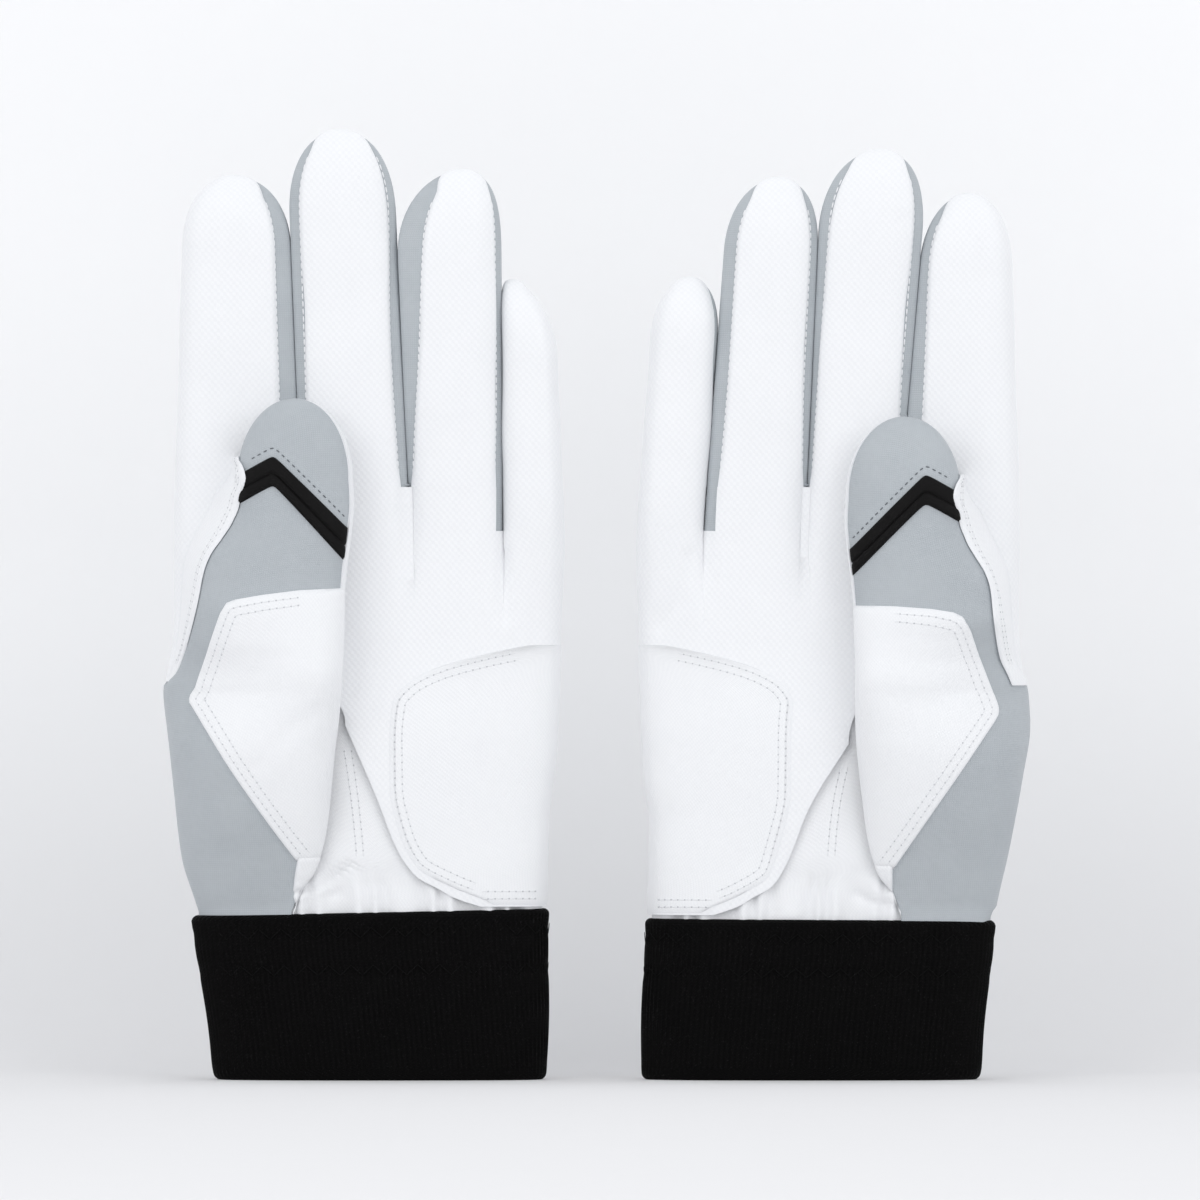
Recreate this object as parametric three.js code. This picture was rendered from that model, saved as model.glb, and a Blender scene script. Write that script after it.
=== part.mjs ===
// A pair of baseball batting gloves, standing on their knit cuffs with the palms facing -Y.
// Units are millimetres and +Z is up. The origin is on the standing surface, midway between the gloves.
// Each glove is sewn from thin pieces of leather and stretch fabric, and every piece is its own solid.
// Both gloves are drawn in the left glove's frame: x runs from the thumb side to the little-finger side.

import * as THREE from "three";

// Thicknesses of the sewn materials, and the room between neighbours
const LEATHER = 1.0;
const FABRIC = 0.8;
const PATCH = 0.9;
const SEAM_GAP = 0.35;
const LAYER_GAP = 0.3;
const PATCH_GAP = 0.75;

// Knit cuff: a folded band with a pocket that holds the elastic
const CUFF_HEIGHT = 41.5;
const CUFF_HALF_WIDTH = 44.3;
const CUFF_HALF_DEPTH = 14;
const CUFF_THUMB_SIDE_TAPER = 4.8;
const CUFF_OUTER_WALL = 1.4;
const CUFF_POCKET = 1.6;
const CUFF_LINING = 1.2;
const CUFF_EDGE_ROUND = 0.9;
const CUFF_HEM = 7;
const ELASTIC_HEIGHT = 22;
const SECTION_POWER = 2.6;

// Hand: heights of the landmarks, and how far the shell stands out in front and behind
const LEATHER_INSET = 0.9;
const HEM_RISE = 0.8;
const WRIST = CUFF_HEIGHT + LAYER_GAP;
const PALM_HEM = WRIST + HEM_RISE;
const THUMB_HOLE_TOP = 99.5;
const SPLIT_DROP = 2.5;
const BLEND_RISE = 10.5;
const HEEL_RISE = 9.1;
const THUMB_SPLIT = THUMB_HOLE_TOP - SPLIT_DROP;
const FINGER_BLEND = THUMB_HOLE_TOP + BLEND_RISE;
const HEEL_TOP = THUMB_HOLE_TOP + HEEL_RISE;
const GUSSET_TUCK = { thumb: 1.5, palm: 7 };
const FINGER_ROOT = 148;
const LITTLE_CROTCH_DROP = 11;
const LITTLE_CROTCH = FINGER_ROOT - LITTLE_CROTCH_DROP;
const WRIST_DEPTH = CUFF_HALF_DEPTH - LEATHER_INSET;
const PALM_DEPTH = 13;
const BACK_DEPTH = 15;
const FINGER_DEPTH = 9;
const BLEND_FRONT_DEPTH = 10.6;
const BLEND_BACK_DEPTH = 13.5;

// Fingers, from the index to the little finger
const FINGER_NAMES = ["index", "middle", "ring", "little"];
const FINGER_GAP = 0.8;
const FINGER_HALF_DEPTHS = [9.0, 9.3, 9.0, 8.6];
const FINGER_SET_BACK = [0.3, 0, 0, 1.2];
const FINGER_TAPER_RUN = 57;
const DOME_POWER = 2.2;
const SEAM_ANGLE = 50;
const WRAP_ANGLE = 130;
const TIP_SEAM_ANGLE = 88;
const TIP_SEAM_RUN = 16;
const TIP_SEAM_END = 4;
const SIDE_END_DROP = 7;
const HALF_TURN = THREE.MathUtils.radToDeg(Math.PI);

// Thumb, folded across the palm: drops are measured down from its tip
const THUMB_LENGTH = 81.5;
const THUMB_CROTCH_DEPTH = 11;
const THUMB_DOME = 20;
const THUMB_DOME_POWER = 2;
const THUMB_TIP_X = -19.2;
const THUMB_WEB_X = -33.4;
const THUMB_FREE_X = -4.8;
const THUMB_FRONT_SWELL = 8.6;
const THUMB_REAR_SWELL = 6.2;
const THUMB_SETTING_Y = -19.3;
const THUMB_FOLD_WEB = { x: -33.5, drop: 28.5 };
const THUMB_FOLD_EDGE = { x: -6.5, drop: 46 };
const THUMB_SECTION_POWER = 2.4;
const THUMB_RIM = 0.965;
const THUMB_CLEARANCE = 1.6;
const CHEVRON_DROP = 14.7;
const CHEVRON_X = -24.2;
const CHEVRON_BAND = 7.3;
const CHEVRON_WEB_SLOPE = 0.56;
const CHEVRON_EDGE_SLOPE = 0.98;
const PATCH_TOP_DROP = 50;
const PATCH_FOOT = { x: -19, rise: 14 };
const PATCH_CORNER = { x: -44.2, share: 0.6, round: 1 };
const PATCH_TOP_X = -36.5;
const PATCH_TOP_TILT = 2.5;

// Outlines as [share, x] stations: the thumb's free edge from the wrist to its crotch, the palm's cut edge
// from its hem to the crotch, and the heel pad's inner edge from its foot to its top
const FREE_EDGE = [[0, -19.5], [0.16, -16.6], [0.22, -14.5], [0.39, -11.8], [0.62, -10.5], [1, -9]];
const PALM_EDGE = [[0, 27], [0.05, 20.5], [0.1, 16.5], [0.165, 11.2], [0.3, 6.7], [0.62, 0.9], [1, -6.6]];
const HEEL_FOOT_RISE = 1;
const HEEL_EDGE = [[0, 30], [0.06, 20], [0.14, 11], [0.29, 6.4], [0.45, 4.4], [0.64, 4.3], [0.78, 5.2]];
const HEEL_CORNER = [[0.85, 8.8], [0.91, 16], [0.96, 27], [1, 39]];

// Edges of the thumb above its crotch, as [drop, x] stations, and its places in depth and its swell
const THUMB_FREE_EDGE = [[66, -7.7], [47, -6.7], [40, -6], [33, -5.1], [26, -4.5]];
const THUMB_WEB_EDGE = [[60, -45.8], [51, -43.6], [43, -42], [39, -40.4], [35, -37.6], [31, -35], [26, -33.2]];
const THUMB_SPLIT_WEB = { share: 0.4, x: -48.6 };
const THUMB_SPLIT_Y = -0.5;
const THUMB_WEB_RUN = [[7, -7], [13, -13]];
const THUMB_NECK = { drop: 50, y: -18 };
const THUMB_SET_DROP = 40;
const THUMB_SWELL = [[0.24, 4.5], [0.51, 10], [0.78, 13.5], [1, 14]];
const THUMB_NECK_SWELL = { drop: 60, swell: 11.5 };
const SWELL_START = 1.5;
const WEB_SINK = 0.2;
const LIFT_OFF = { below: 8, above: 4 };
const LINING_RISE = 3;
const WEB_RISE = 2.5;
const WEB_START = { x: 2.4, gap: 1.2 };
const WEB_LAP = { x: 1.6, y: 0.2 };

// The two gloves as they stand, with a value for each finger from the index to the little finger:
// widths seen from the palm, lengths and knuckles above the finger root, tips leaning sideways, and domes.
// Side outlines are [share, x] stations from the wrist to the thumb's split, and from there to the finger root.
const HANDS = {
  left: {
    mirror: 1,
    rootWidths: [30.4, 26.6, 22.9, 14.6],
    tipWidths: [26.3, 26.4, 25.1, 12.4],
    lengths: [77.5, 89, 79, 51.5],
    knuckleRises: [35.5, 39, 34, 14.5],
    tipLeans: [0, 0.5, 3.5, -3.4],
    domes: [18, 21, 18, 20],
    thumbRise: 0,
    thumbShift: 0,
    palmShift: 0,
    thumbSide: [[0.24, -47.5], [0.55, -49.7], [0.83, -51.3], [1, -52.1]],
    indexSide: [[0.1, -51.2], [0.25, -49.9], [0.45, -49.3]],
    littleSide: [[0.21, 43.9], [0.29, 44.7], [0.36, 45.7], [0.5, 46.5], [0.63, 47]],
  },
  right: {
    mirror: -1,
    rootWidths: [29.0, 22.8, 24.2, 16.4],
    tipWidths: [22.5, 24.9, 22.7, 16.2],
    lengths: [73, 84, 77, 52],
    knuckleRises: [31, 34, 32, 15],
    tipLeans: [0, -1, -0.8, -0.8],
    domes: [18, 21, 18, 15],
    thumbRise: -4.5,
    thumbShift: -1.2,
    palmShift: 2.6,
    thumbSide: [[0.34, -47.5], [0.61, -50.4], [0.83, -52.1], [1, -51.5]],
    indexSide: [[0.1, -50.1], [0.25, -49.4], [0.45, -49]],
    littleSide: [[0.21, 42.8], [0.3, 44.1], [0.5, 45.1], [0.69, 45.6]],
  },
};
const RADIAL_EDGE_ROOT = -49.3;
const RADIAL_EDGE_TIP = -47.5;
const GLOVE_SPACING = 112.3;
const DEPTH_SHIFT = 7.5;

// Finishes
const FINISHES = {
  whiteLeather: new THREE.MeshStandardMaterial({ color: 0xf3f4f5, roughness: 0.62, metalness: 0 }),
  greyFabric: new THREE.MeshStandardMaterial({ color: 0xb9bfc5, roughness: 0.82, metalness: 0 }),
  blackTrim: new THREE.MeshStandardMaterial({ color: 0x151516, roughness: 0.7, metalness: 0 }),
  blackKnit: new THREE.MeshStandardMaterial({ color: 0x0e0d0e, roughness: 0.95, metalness: 0 }),
  elasticTape: new THREE.MeshStandardMaterial({ color: 0xd8d8d4, roughness: 0.85, metalness: 0 }),
};

// Curves and blends

const mix = THREE.MathUtils.lerp;
const ease = (value, low, high) => THREE.MathUtils.smoothstep(value, low, high);
const radians = THREE.MathUtils.degToRad;
const steps = (count) => Array.from({ length: count + 1 }, (_, i) => i / count);
const levels = (low, high, count) => steps(count).map((t) => mix(low, high, t));

/** A smooth curve through [position, value] stations that never overshoots them. */
function through(stations) {
  const last = stations.length - 1;
  const slopes = stations.slice(1).map(([at, value], i) => (value - stations[i][1]) / (at - stations[i][0]));
  const tangents = stations.map((_, i) => {
    if (i === 0) return slopes[0];
    if (i === last) return slopes[last - 1];
    const product = slopes[i - 1] * slopes[i];
    return product <= 0 ? 0 : (2 * product) / (slopes[i - 1] + slopes[i]);
  });
  return (position) => {
    if (position <= stations[0][0]) return stations[0][1];
    if (position >= stations[last][0]) return stations[last][1];
    const i = stations.findIndex(([at]) => at > position) - 1;
    const span = stations[i + 1][0] - stations[i][0];
    const t = (position - stations[i][0]) / span;
    const rise = t * t * (3 - 2 * t);
    return (
      mix(stations[i][1], stations[i + 1][1], rise) +
      span * (t * (1 - t) ** 2 * tangents[i] - t * t * (1 - t) * tangents[i + 1])
    );
  };
}

/** How far a rounded section stands out at a place across it, from 1 in the middle to 0 at its ends. */
const crown = (across, power) => Math.max(0, 1 - Math.abs(across) ** power) ** (1 / power);

// Sheets and shells

/** Joins a row of points to the row above it; a row of one point is a closed tip. */
function joinRows(faces, low, high) {
  for (let c = 0; c + 1 < low.length; c++) {
    if (high.length === 1) {
      faces.push([low[c], low[c + 1], high[0]]);
    } else {
      faces.push([low[c], low[c + 1], high[c + 1]], [low[c], high[c + 1], high[c]]);
    }
  }
}

/** A sheet from rows of points, lowest first, each running left to right as seen from outside. */
function sheetOfRows(rows) {
  const points = rows.flat();
  const faces = [];
  let start = 0;
  const indices = rows.map((row) => row.map(() => start++));
  indices.slice(1).forEach((high, r) => joinRows(faces, indices[r], high));
  return { points, faces };
}

/** The outward normal at each point of a sheet. */
function normalsOf({ points, faces }) {
  const normals = points.map(() => new THREE.Vector3());
  for (const [a, b, c] of faces) {
    const first = points[b].clone().sub(points[a]);
    const second = points[c].clone().sub(points[a]);
    const normal = first.cross(second);
    for (const corner of [a, b, c]) normals[corner].add(normal);
  }
  return normals.map((normal) => normal.normalize());
}

/** A closed shell: the sheet outside, a copy set in by the thickness, and walls round the edges. */
function thicken(sheet, thickness) {
  const { points, faces } = sheet;
  const count = points.length;
  const normals = normalsOf(sheet);
  const inner = points.map((point, i) => point.clone().addScaledVector(normals[i], -thickness));
  const edges = new Set(faces.flatMap(([a, b, c]) => [`${a},${b}`, `${b},${c}`, `${c},${a}`]));
  const triangles = [...faces, ...faces.map(([a, b, c]) => [a + count, c + count, b + count])];
  for (const edge of edges) {
    const [a, b] = edge.split(",").map(Number);
    if (edges.has(`${b},${a}`)) continue;
    triangles.push([b, a, a + count], [b, a + count, b + count]);
  }
  const geometry = new THREE.BufferGeometry().setFromPoints([...points, ...inner]);
  geometry.setIndex(triangles.flat());
  geometry.computeVertexNormals();
  return geometry;
}

/** A ring-shaped solid: a closed profile carried round a closed loop. */
function ringOf(profile, loop, place) {
  const positions = loop.flatMap((angle) => profile.map(([inset, z]) => place(angle, inset, z)));
  const triangles = [];
  const size = profile.length;
  loop.forEach((_, i) => {
    const next = (i + 1) % loop.length;
    profile.forEach((__, j) => {
      const along = (j + 1) % size;
      const [a, b] = [i * size + j, next * size + j];
      const [c, d] = [next * size + along, i * size + along];
      triangles.push(a, b, c, a, c, d);
    });
  });
  const geometry = new THREE.BufferGeometry().setFromPoints(positions).setIndex(triangles);
  geometry.computeVertexNormals();
  return geometry;
}

// Forms of one glove

/** The four finger stalls, stacked side by side from the thumb side of the hand. */
function fingersOf(hand) {
  let rootEdge = RADIAL_EDGE_ROOT;
  let tipEdge = RADIAL_EDGE_TIP;
  return FINGER_NAMES.map((name, i) => {
    const [rootWidth, tipWidth] = [hand.rootWidths[i], hand.tipWidths[i]];
    const [rootX, tipX] = [rootEdge + rootWidth / 2, tipEdge + tipWidth / 2];
    rootEdge += rootWidth + FINGER_GAP;
    tipEdge += tipWidth + FINGER_GAP;
    const along = (z) => (z - FINGER_ROOT) / FINGER_TAPER_RUN;
    const tip = FINGER_ROOT + hand.lengths[i];
    const domeStart = tip - hand.domes[i];
    const rise = (z) => Math.max(0, z - domeStart) / hand.domes[i];
    const dome = (z) => crown(rise(z), DOME_POWER);
    return {
      name,
      tip,
      domeStart,
      dome,
      knuckle: FINGER_ROOT + hand.knuckleRises[i],
      setBack: FINGER_SET_BACK[i],
      centre: (z) => mix(rootX, tipX, along(z)) + hand.tipLeans[i] * rise(z) ** 2,
      halfWidth: (z) => (mix(rootWidth, tipWidth, along(z)) / 2) * dome(z),
      halfDepth: (z) => FINGER_HALF_DEPTHS[i] * dome(z),
    };
  });
}

/** A point on a finger; the angle is 0 at the front and 90 on the little-finger side. */
function fingerPoint(finger, angle, z) {
  const turn = radians(angle);
  return new THREE.Vector3(
    finger.centre(z) + finger.halfWidth(z) * Math.sin(turn),
    finger.setBack - finger.halfDepth(z) * Math.cos(turn),
    z,
  );
}

/** The outlines and depths of the hand, and the landmarks of the thumb. */
function formOf(hand) {
  const fingers = fingersOf(hand);
  const little = fingers[3];
  const rootEnd = little.centre(FINGER_ROOT) + little.halfWidth(FINGER_ROOT);
  const wristHalf = CUFF_HALF_WIDTH - LEATHER_INSET;
  const crotch = THUMB_HOLE_TOP - THUMB_CROTCH_DEPTH + hand.thumbRise;
  const tip = crotch + THUMB_LENGTH;
  const shift = hand.thumbShift;
  const spread = (low, high, stations) => stations.map(([share, value]) => [mix(low, high, share), value]);
  const drops = (stations) => stations.map(([drop, x]) => [tip - drop, x + shift]);
  const toSplit = spread(WRIST, THUMB_SPLIT, hand.thumbSide);
  const domeStart = tip - THUMB_DOME;
  const neckStart = mix(THUMB_SPLIT, drops(THUMB_WEB_EDGE)[0][0], THUMB_SPLIT_WEB.share);
  const palmShift = (share) => 4 * share * (1 - share) * hand.palmShift;
  return {
    fingers,
    tip,
    crotch,
    tipX: THUMB_TIP_X + shift,
    chevronX: CHEVRON_X + shift,
    radialEdge: through([
      [WRIST, -wristHalf],
      ...toSplit,
      ...spread(THUMB_SPLIT, FINGER_ROOT, hand.indexSide),
      [FINGER_ROOT, RADIAL_EDGE_ROOT],
    ]),
    ulnarEdge: through([
      [WRIST, wristHalf],
      ...spread(WRIST, FINGER_ROOT, hand.littleSide),
      [FINGER_ROOT, rootEnd],
    ]),
    frontDepth: through([
      [WRIST, WRIST_DEPTH],
      [mix(WRIST, FINGER_BLEND, 0.3), PALM_DEPTH],
      [mix(WRIST, FINGER_BLEND, 0.6), PALM_DEPTH],
      [FINGER_BLEND, BLEND_FRONT_DEPTH],
      [FINGER_ROOT, FINGER_DEPTH],
    ]),
    backDepth: through([
      [WRIST, WRIST_DEPTH],
      [mix(WRIST, FINGER_BLEND, 0.63), BACK_DEPTH],
      [FINGER_BLEND, BLEND_BACK_DEPTH],
      [FINGER_ROOT, FINGER_DEPTH],
    ]),
    palmEdge: through(spread(PALM_HEM, crotch, PALM_EDGE.map(([share, x]) => [share, x + palmShift(share)]))),
    thumbRight: through([
      ...spread(WRIST, crotch, FREE_EDGE),
      ...drops(THUMB_FREE_EDGE),
      [domeStart, THUMB_FREE_X + shift],
    ]),
    thumbLeft: through([
      [WRIST, -wristHalf],
      ...toSplit.map(([z, x]) => [z, x + WEB_SINK]),
      [neckStart, THUMB_SPLIT_WEB.x + shift],
      ...drops(THUMB_WEB_EDGE),
      [domeStart, THUMB_WEB_X + shift],
    ]),
    thumbLeftY: through([
      [THUMB_SPLIT, THUMB_SPLIT_Y],
      ...THUMB_WEB_RUN.map(([rise, y]) => [THUMB_SPLIT + rise, y]),
      [tip - THUMB_NECK.drop, THUMB_NECK.y],
      [tip - THUMB_SET_DROP, THUMB_SETTING_Y],
    ]),
    swell: through([
      [WRIST + SWELL_START, 0],
      ...spread(WRIST, THUMB_SPLIT, THUMB_SWELL),
      [tip - THUMB_NECK_SWELL.drop, THUMB_NECK_SWELL.swell],
      [tip - THUMB_FOLD_EDGE.drop, THUMB_FRONT_SWELL],
    ]),
  };
}

/** A point on the hand; across runs from -1 on the thumb side to 1, and side is -1 in front, 1 behind. */
function handPoint(form, across, side, z, lift = 0) {
  const [left, right] = [form.radialEdge(z), form.ulnarEdge(z)];
  const depth = (side < 0 ? form.frontDepth(z) : form.backDepth(z)) + lift;
  const reach = (right - left) / 2 + lift;
  return new THREE.Vector3(
    (left + right) / 2 + reach * across,
    side * depth * crown(across, SECTION_POWER),
    z,
  );
}

/** Where a place of the hand's front lies across it, from -1 to 1. */
function acrossAt(form, x, z) {
  const [left, right] = [form.radialEdge(z), form.ulnarEdge(z)];
  return THREE.MathUtils.clamp((2 * x - left - right) / (right - left), -1, 1);
}

/** A point on the folded thumb; along runs from 0 at its web to 1 at its free edge, side as on the hand. */
function thumbPoint(form, along, side, z) {
  const dome = crown(Math.max(0, z - form.tip + THUMB_DOME) / THUMB_DOME, THUMB_DOME_POWER);
  const left = mix(form.tipX, form.thumbLeft(z), dome);
  const right = mix(form.tipX, form.thumbRight(z), dome);
  const x = mix(left, right, along);
  const onHand = handPoint(form, acrossAt(form, x, z), -1, z).y;
  const free = mix(form.thumbLeftY(z), THUMB_SETTING_Y, along);
  const base = mix(onHand, free, ease(z, form.crotch - LIFT_OFF.below, THUMB_HOLE_TOP + LIFT_OFF.above));
  const round = dome * crown(2 * along - 1, THUMB_SECTION_POWER);
  const front = base - form.swell(z) * round;
  const rear = Math.min(base + THUMB_REAR_SWELL * round, onHand - THUMB_CLEARANCE);
  return new THREE.Vector3(x, side < 0 ? front : rear, z);
}

/** The height at which the thumb folds at a place along it: a straight line, seen from the front. */
function foldHeight(form, along) {
  const span = THUMB_FOLD_EDGE.x - THUMB_FOLD_WEB.x;
  const dropAt = (x) => mix(THUMB_FOLD_WEB.drop, THUMB_FOLD_EDGE.drop, (x - THUMB_FOLD_WEB.x) / span);
  let z = form.tip - THUMB_FOLD_WEB.drop;
  for (let round = 0; round < 12; round++) {
    z = form.tip - dropAt(mix(form.thumbLeft(z), form.thumbRight(z), along));
  }
  return z;
}

/** A point standing off a surface by a distance; place gives the surface from two parameters. */
function standOff(place, first, second, distance) {
  const step = 0.01;
  const point = place(first, second);
  const across = place(first + step, second).sub(place(first - step, second));
  const up = place(first, second + step).sub(place(first, second - step));
  return point.addScaledVector(across.cross(up).normalize(), distance);
}

// Seams on the fingers

/** Angles of a finger's sewn edges at a height: the front, and the back, narrow to the ridge of the tip. */
function seamsAt(finger, z) {
  const closing = ease(z, finger.tip - TIP_SEAM_RUN, finger.tip - TIP_SEAM_END);
  const gap = THREE.MathUtils.radToDeg(SEAM_GAP / Math.max(3, finger.halfDepth(z)));
  return {
    front: mix(SEAM_ANGLE, TIP_SEAM_ANGLE, closing),
    wrap: mix(WRAP_ANGLE - gap, TIP_SEAM_ANGLE, closing),
    back: HALF_TURN - mix(SEAM_ANGLE, HALF_TURN / 2 - gap, closing) + gap,
    gap,
  };
}

/** Heights of the rows of a finger stall from its knuckle to its tip. */
function stallLevels(finger) {
  const dome = [0.45, 0.75, 0.93].map((t) => mix(finger.domeStart, finger.tip, t));
  return [...levels(finger.knuckle + SEAM_GAP, finger.domeStart, 2), ...dome];
}

/** A closed cap of rows between two angles, ending in one point at the finger's tip. */
function stallSheet(finger, count, fromAngle, toAngle, tipShift) {
  const rows = stallLevels(finger).map((z) =>
    steps(count).map((t) => fingerPoint(finger, mix(fromAngle(z), toAngle(z), t), z)),
  );
  const tip = new THREE.Vector3(finger.centre(finger.tip), finger.setBack + tipShift, finger.tip);
  return sheetOfRows([...rows, [tip]]);
}

function fingerFront(finger) {
  const seams = (z) => seamsAt(finger, z);
  const wrapsLeft = finger.name === "index";
  const wrapsRight = finger.name === "little";
  const from = (z) => -(wrapsLeft ? seams(z).wrap : seams(z).front);
  const to = (z) => (wrapsRight ? seams(z).wrap : seams(z).front);
  return thicken(stallSheet(finger, wrapsLeft || wrapsRight ? 6 : 4, from, to, -SEAM_GAP), LEATHER);
}

function fingerBack(finger) {
  const from = (z) => seamsAt(finger, z).back;
  return thicken(stallSheet(finger, 3, from, (z) => 2 * HALF_TURN - from(z), SEAM_GAP), FABRIC);
}

/** A side strip of a finger stall; hand is 1 on the little-finger side and -1 on the thumb side. */
function fingerSide(finger, hand) {
  const end = finger.tip - SIDE_END_DROP;
  const heights = [...levels(finger.knuckle + SEAM_GAP, finger.domeStart, 2), end];
  const rows = heights.map((z) => {
    const { front, back, gap } = seamsAt(finger, z);
    const angles = steps(2).map((t) => hand * mix(front + 2 * gap, back - 2 * gap, t));
    return (hand > 0 ? angles : angles.reverse()).map((angle) => fingerPoint(finger, angle, z));
  });
  return thicken(sheetOfRows(rows), FABRIC);
}

/** The side strip between two fingers, from one knuckle down round the crotch and up to the next. */
function fourchette(left, right, crotch) {
  const seat = crotch + FABRIC + 2 * SEAM_GAP;
  const row = (finger, hand, z) => {
    const { front, back, gap } = seamsAt(finger, z);
    return steps(2).map((t) => fingerPoint(finger, hand * mix(back - 2 * gap, front + 2 * gap, t), z));
  };
  const down = levels(left.knuckle - SEAM_GAP, seat, 2).map((z) => row(left, 1, z));
  const up = levels(seat, right.knuckle - SEAM_GAP, 2).map((z) => row(right, -1, z));
  return thicken(sheetOfRows([...down, ...up]), FABRIC);
}

// Palm and back, each one sheet that runs on into the lower half of every finger

/** The columns of a sheet that follows the fingers, each with its finger, angle and place on the hand. */
function columnsOf(form, ranges) {
  return ranges.flatMap(({ finger, from, to, count }) =>
    steps(count).map((t) => {
      const angle = mix(from, to, t);
      const root = fingerPoint(finger, angle, FINGER_ROOT);
      const side = Math.cos(radians(angle)) < 0 ? 1 : -1;
      return { finger, angle, side, across: acrossAt(form, root.x, FINGER_ROOT) };
    }),
  );
}

/** A sheet over the hand whose columns part at the crotches and end at the knuckles. */
function partedSheet(form, columns, rows, pointAt, isCut) {
  const points = [];
  const faces = [];
  const made = new Map();
  const at = (c, z) => {
    const key = `${c},${z}`;
    if (!made.has(key)) made.set(key, points.push(pointAt(columns[c], z)) - 1);
    return made.get(key);
  };
  const crotchOf = (a, b) => ([a.name, b.name].includes("little") ? LITTLE_CROTCH : FINGER_ROOT);
  for (let c = 0; c + 1 < columns.length; c++) {
    const [a, b] = [columns[c].finger, columns[c + 1].finger];
    const stall = a === b ? levels(FINGER_ROOT, a.knuckle - SEAM_GAP, 2).slice(1) : [];
    const heights = [...rows, ...stall].filter((z) => a === b || z <= crotchOf(a, b));
    for (let r = 0; r + 1 < heights.length; r++) {
      if (isCut(c, heights[r])) continue;
      const [low, high] = [heights[r], heights[r + 1]];
      joinRows(faces, [at(c, low), at(c + 1, low)], [at(c, high), at(c + 1, high)]);
    }
  }
  return { points, faces };
}

/** A point between the plain hand and a finger, which takes over towards the finger's root. */
function fingeredPoint(form, column, across, z) {
  const onHand = handPoint(form, across, column.side, z);
  return onHand.lerp(fingerPoint(column.finger, column.angle, z), ease(z, FINGER_BLEND, FINGER_ROOT));
}

function palmLeather(form) {
  const [index, middle, ring, little] = form.fingers;
  const columns = columnsOf(form, [
    { finger: index, from: -WRAP_ANGLE, to: SEAM_ANGLE, count: 6 },
    { finger: middle, from: -SEAM_ANGLE, to: SEAM_ANGLE, count: 4 },
    { finger: ring, from: -SEAM_ANGLE, to: SEAM_ANGLE, count: 4 },
    { finger: little, from: -SEAM_ANGLE, to: WRAP_ANGLE, count: 6 },
  ]);
  const edge = columns.findIndex(({ finger, angle }) => finger === middle && angle > -SEAM_ANGLE);
  const edgeAcross = columns[edge].across;
  const heel = PALM_EDGE.map(([share]) => mix(PALM_HEM, form.crotch, share));
  const rows = [...heel, THUMB_HOLE_TOP, ...levels(FINGER_BLEND, LITTLE_CROTCH, 2), FINGER_ROOT];
  const pointAt = (column, z) => {
    if (z >= THUMB_HOLE_TOP || column.side > 0) return fingeredPoint(form, column, column.across, z);
    const share = (column.across - edgeAcross) / (1 - edgeAcross);
    return handPoint(form, mix(acrossAt(form, form.palmEdge(z), z), 1, share), -1, z);
  };
  const isCut = (c, z) => c < edge && z < THUMB_HOLE_TOP;
  return thicken(partedSheet(form, columns, rows, pointAt, isCut), LEATHER);
}

function handBack(form) {
  const [index, middle, ring, little] = form.fingers;
  const gap = 2 * seamsAt(little, FINGER_ROOT).gap;
  const from = WRAP_ANGLE + gap;
  const range = (finger) => ({ finger, from, to: 2 * HALF_TURN - from, count: 3 });
  const columns = columnsOf(form, [little, ring, middle, index].map(range));
  const roots = levels(FINGER_BLEND, LITTLE_CROTCH, 2).slice(1);
  const rows = [...levels(WRIST, FINGER_BLEND, 3), ...roots, FINGER_ROOT];
  const pointAt = (column, z) => fingeredPoint(form, column, column.across, z);
  return thicken(partedSheet(form, columns, rows, pointAt, () => false), FABRIC);
}

/** Where the thumb-side seam of the back lies across the hand. */
function radialSeam(form) {
  const index = form.fingers[0];
  return acrossAt(form, fingerPoint(index, -WRAP_ANGLE, FINGER_ROOT).x, FINGER_ROOT);
}

// Wrist and heel of the palm

/** The gathered under-layer of the wrist, showing between the thumb and the palm's edge. */
function wristGusset(form) {
  const sink = -(LEATHER + LAYER_GAP);
  const heights = [0, 0.12, 0.3, 0.6, 0.93].map((t) => mix(WRIST, form.crotch, t));
  const rows = heights.map((z) => {
    const from = acrossAt(form, form.thumbRight(z) - GUSSET_TUCK.thumb, z);
    const to = acrossAt(form, form.palmEdge(z) + GUSSET_TUCK.palm, z);
    return steps(4).map((t) => handPoint(form, mix(from, to, t), -1, z, sink));
  });
  return thicken(sheetOfRows(rows), LEATHER);
}

/** The second layer sewn over the heel of the palm, from the little-finger side. */
function heelPad(form) {
  const lift = PATCH_GAP + PATCH;
  const turnOf = (across) => Math.asin(across ** (SECTION_POWER / 2));
  const acrossOf = (turn) => Math.sin(turn) ** (2 / SECTION_POWER);
  const stations = [...HEEL_EDGE, ...HEEL_CORNER].map(([share, x]) => [
    mix(PALM_HEM + HEEL_FOOT_RISE, HEEL_TOP, share),
    x,
  ]);
  const inner = through(stations);
  const rows = stations.map(([z]) => {
    const from = turnOf(acrossAt(form, inner(z), z));
    const turns = steps(8).map((t) => mix(from, Math.PI / 2, t));
    const front = turns.map((turn) => handPoint(form, acrossOf(turn), -1, z, lift));
    return [...front, handPoint(form, 0.988, 1, z, lift)];
  });
  return thicken(sheetOfRows(rows), PATCH);
}

// Thumb

const THUMB_PLACES = [0.03, 0.08, 0.16, 0.28, 0.45, 0.62, 0.8, 0.92];

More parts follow.
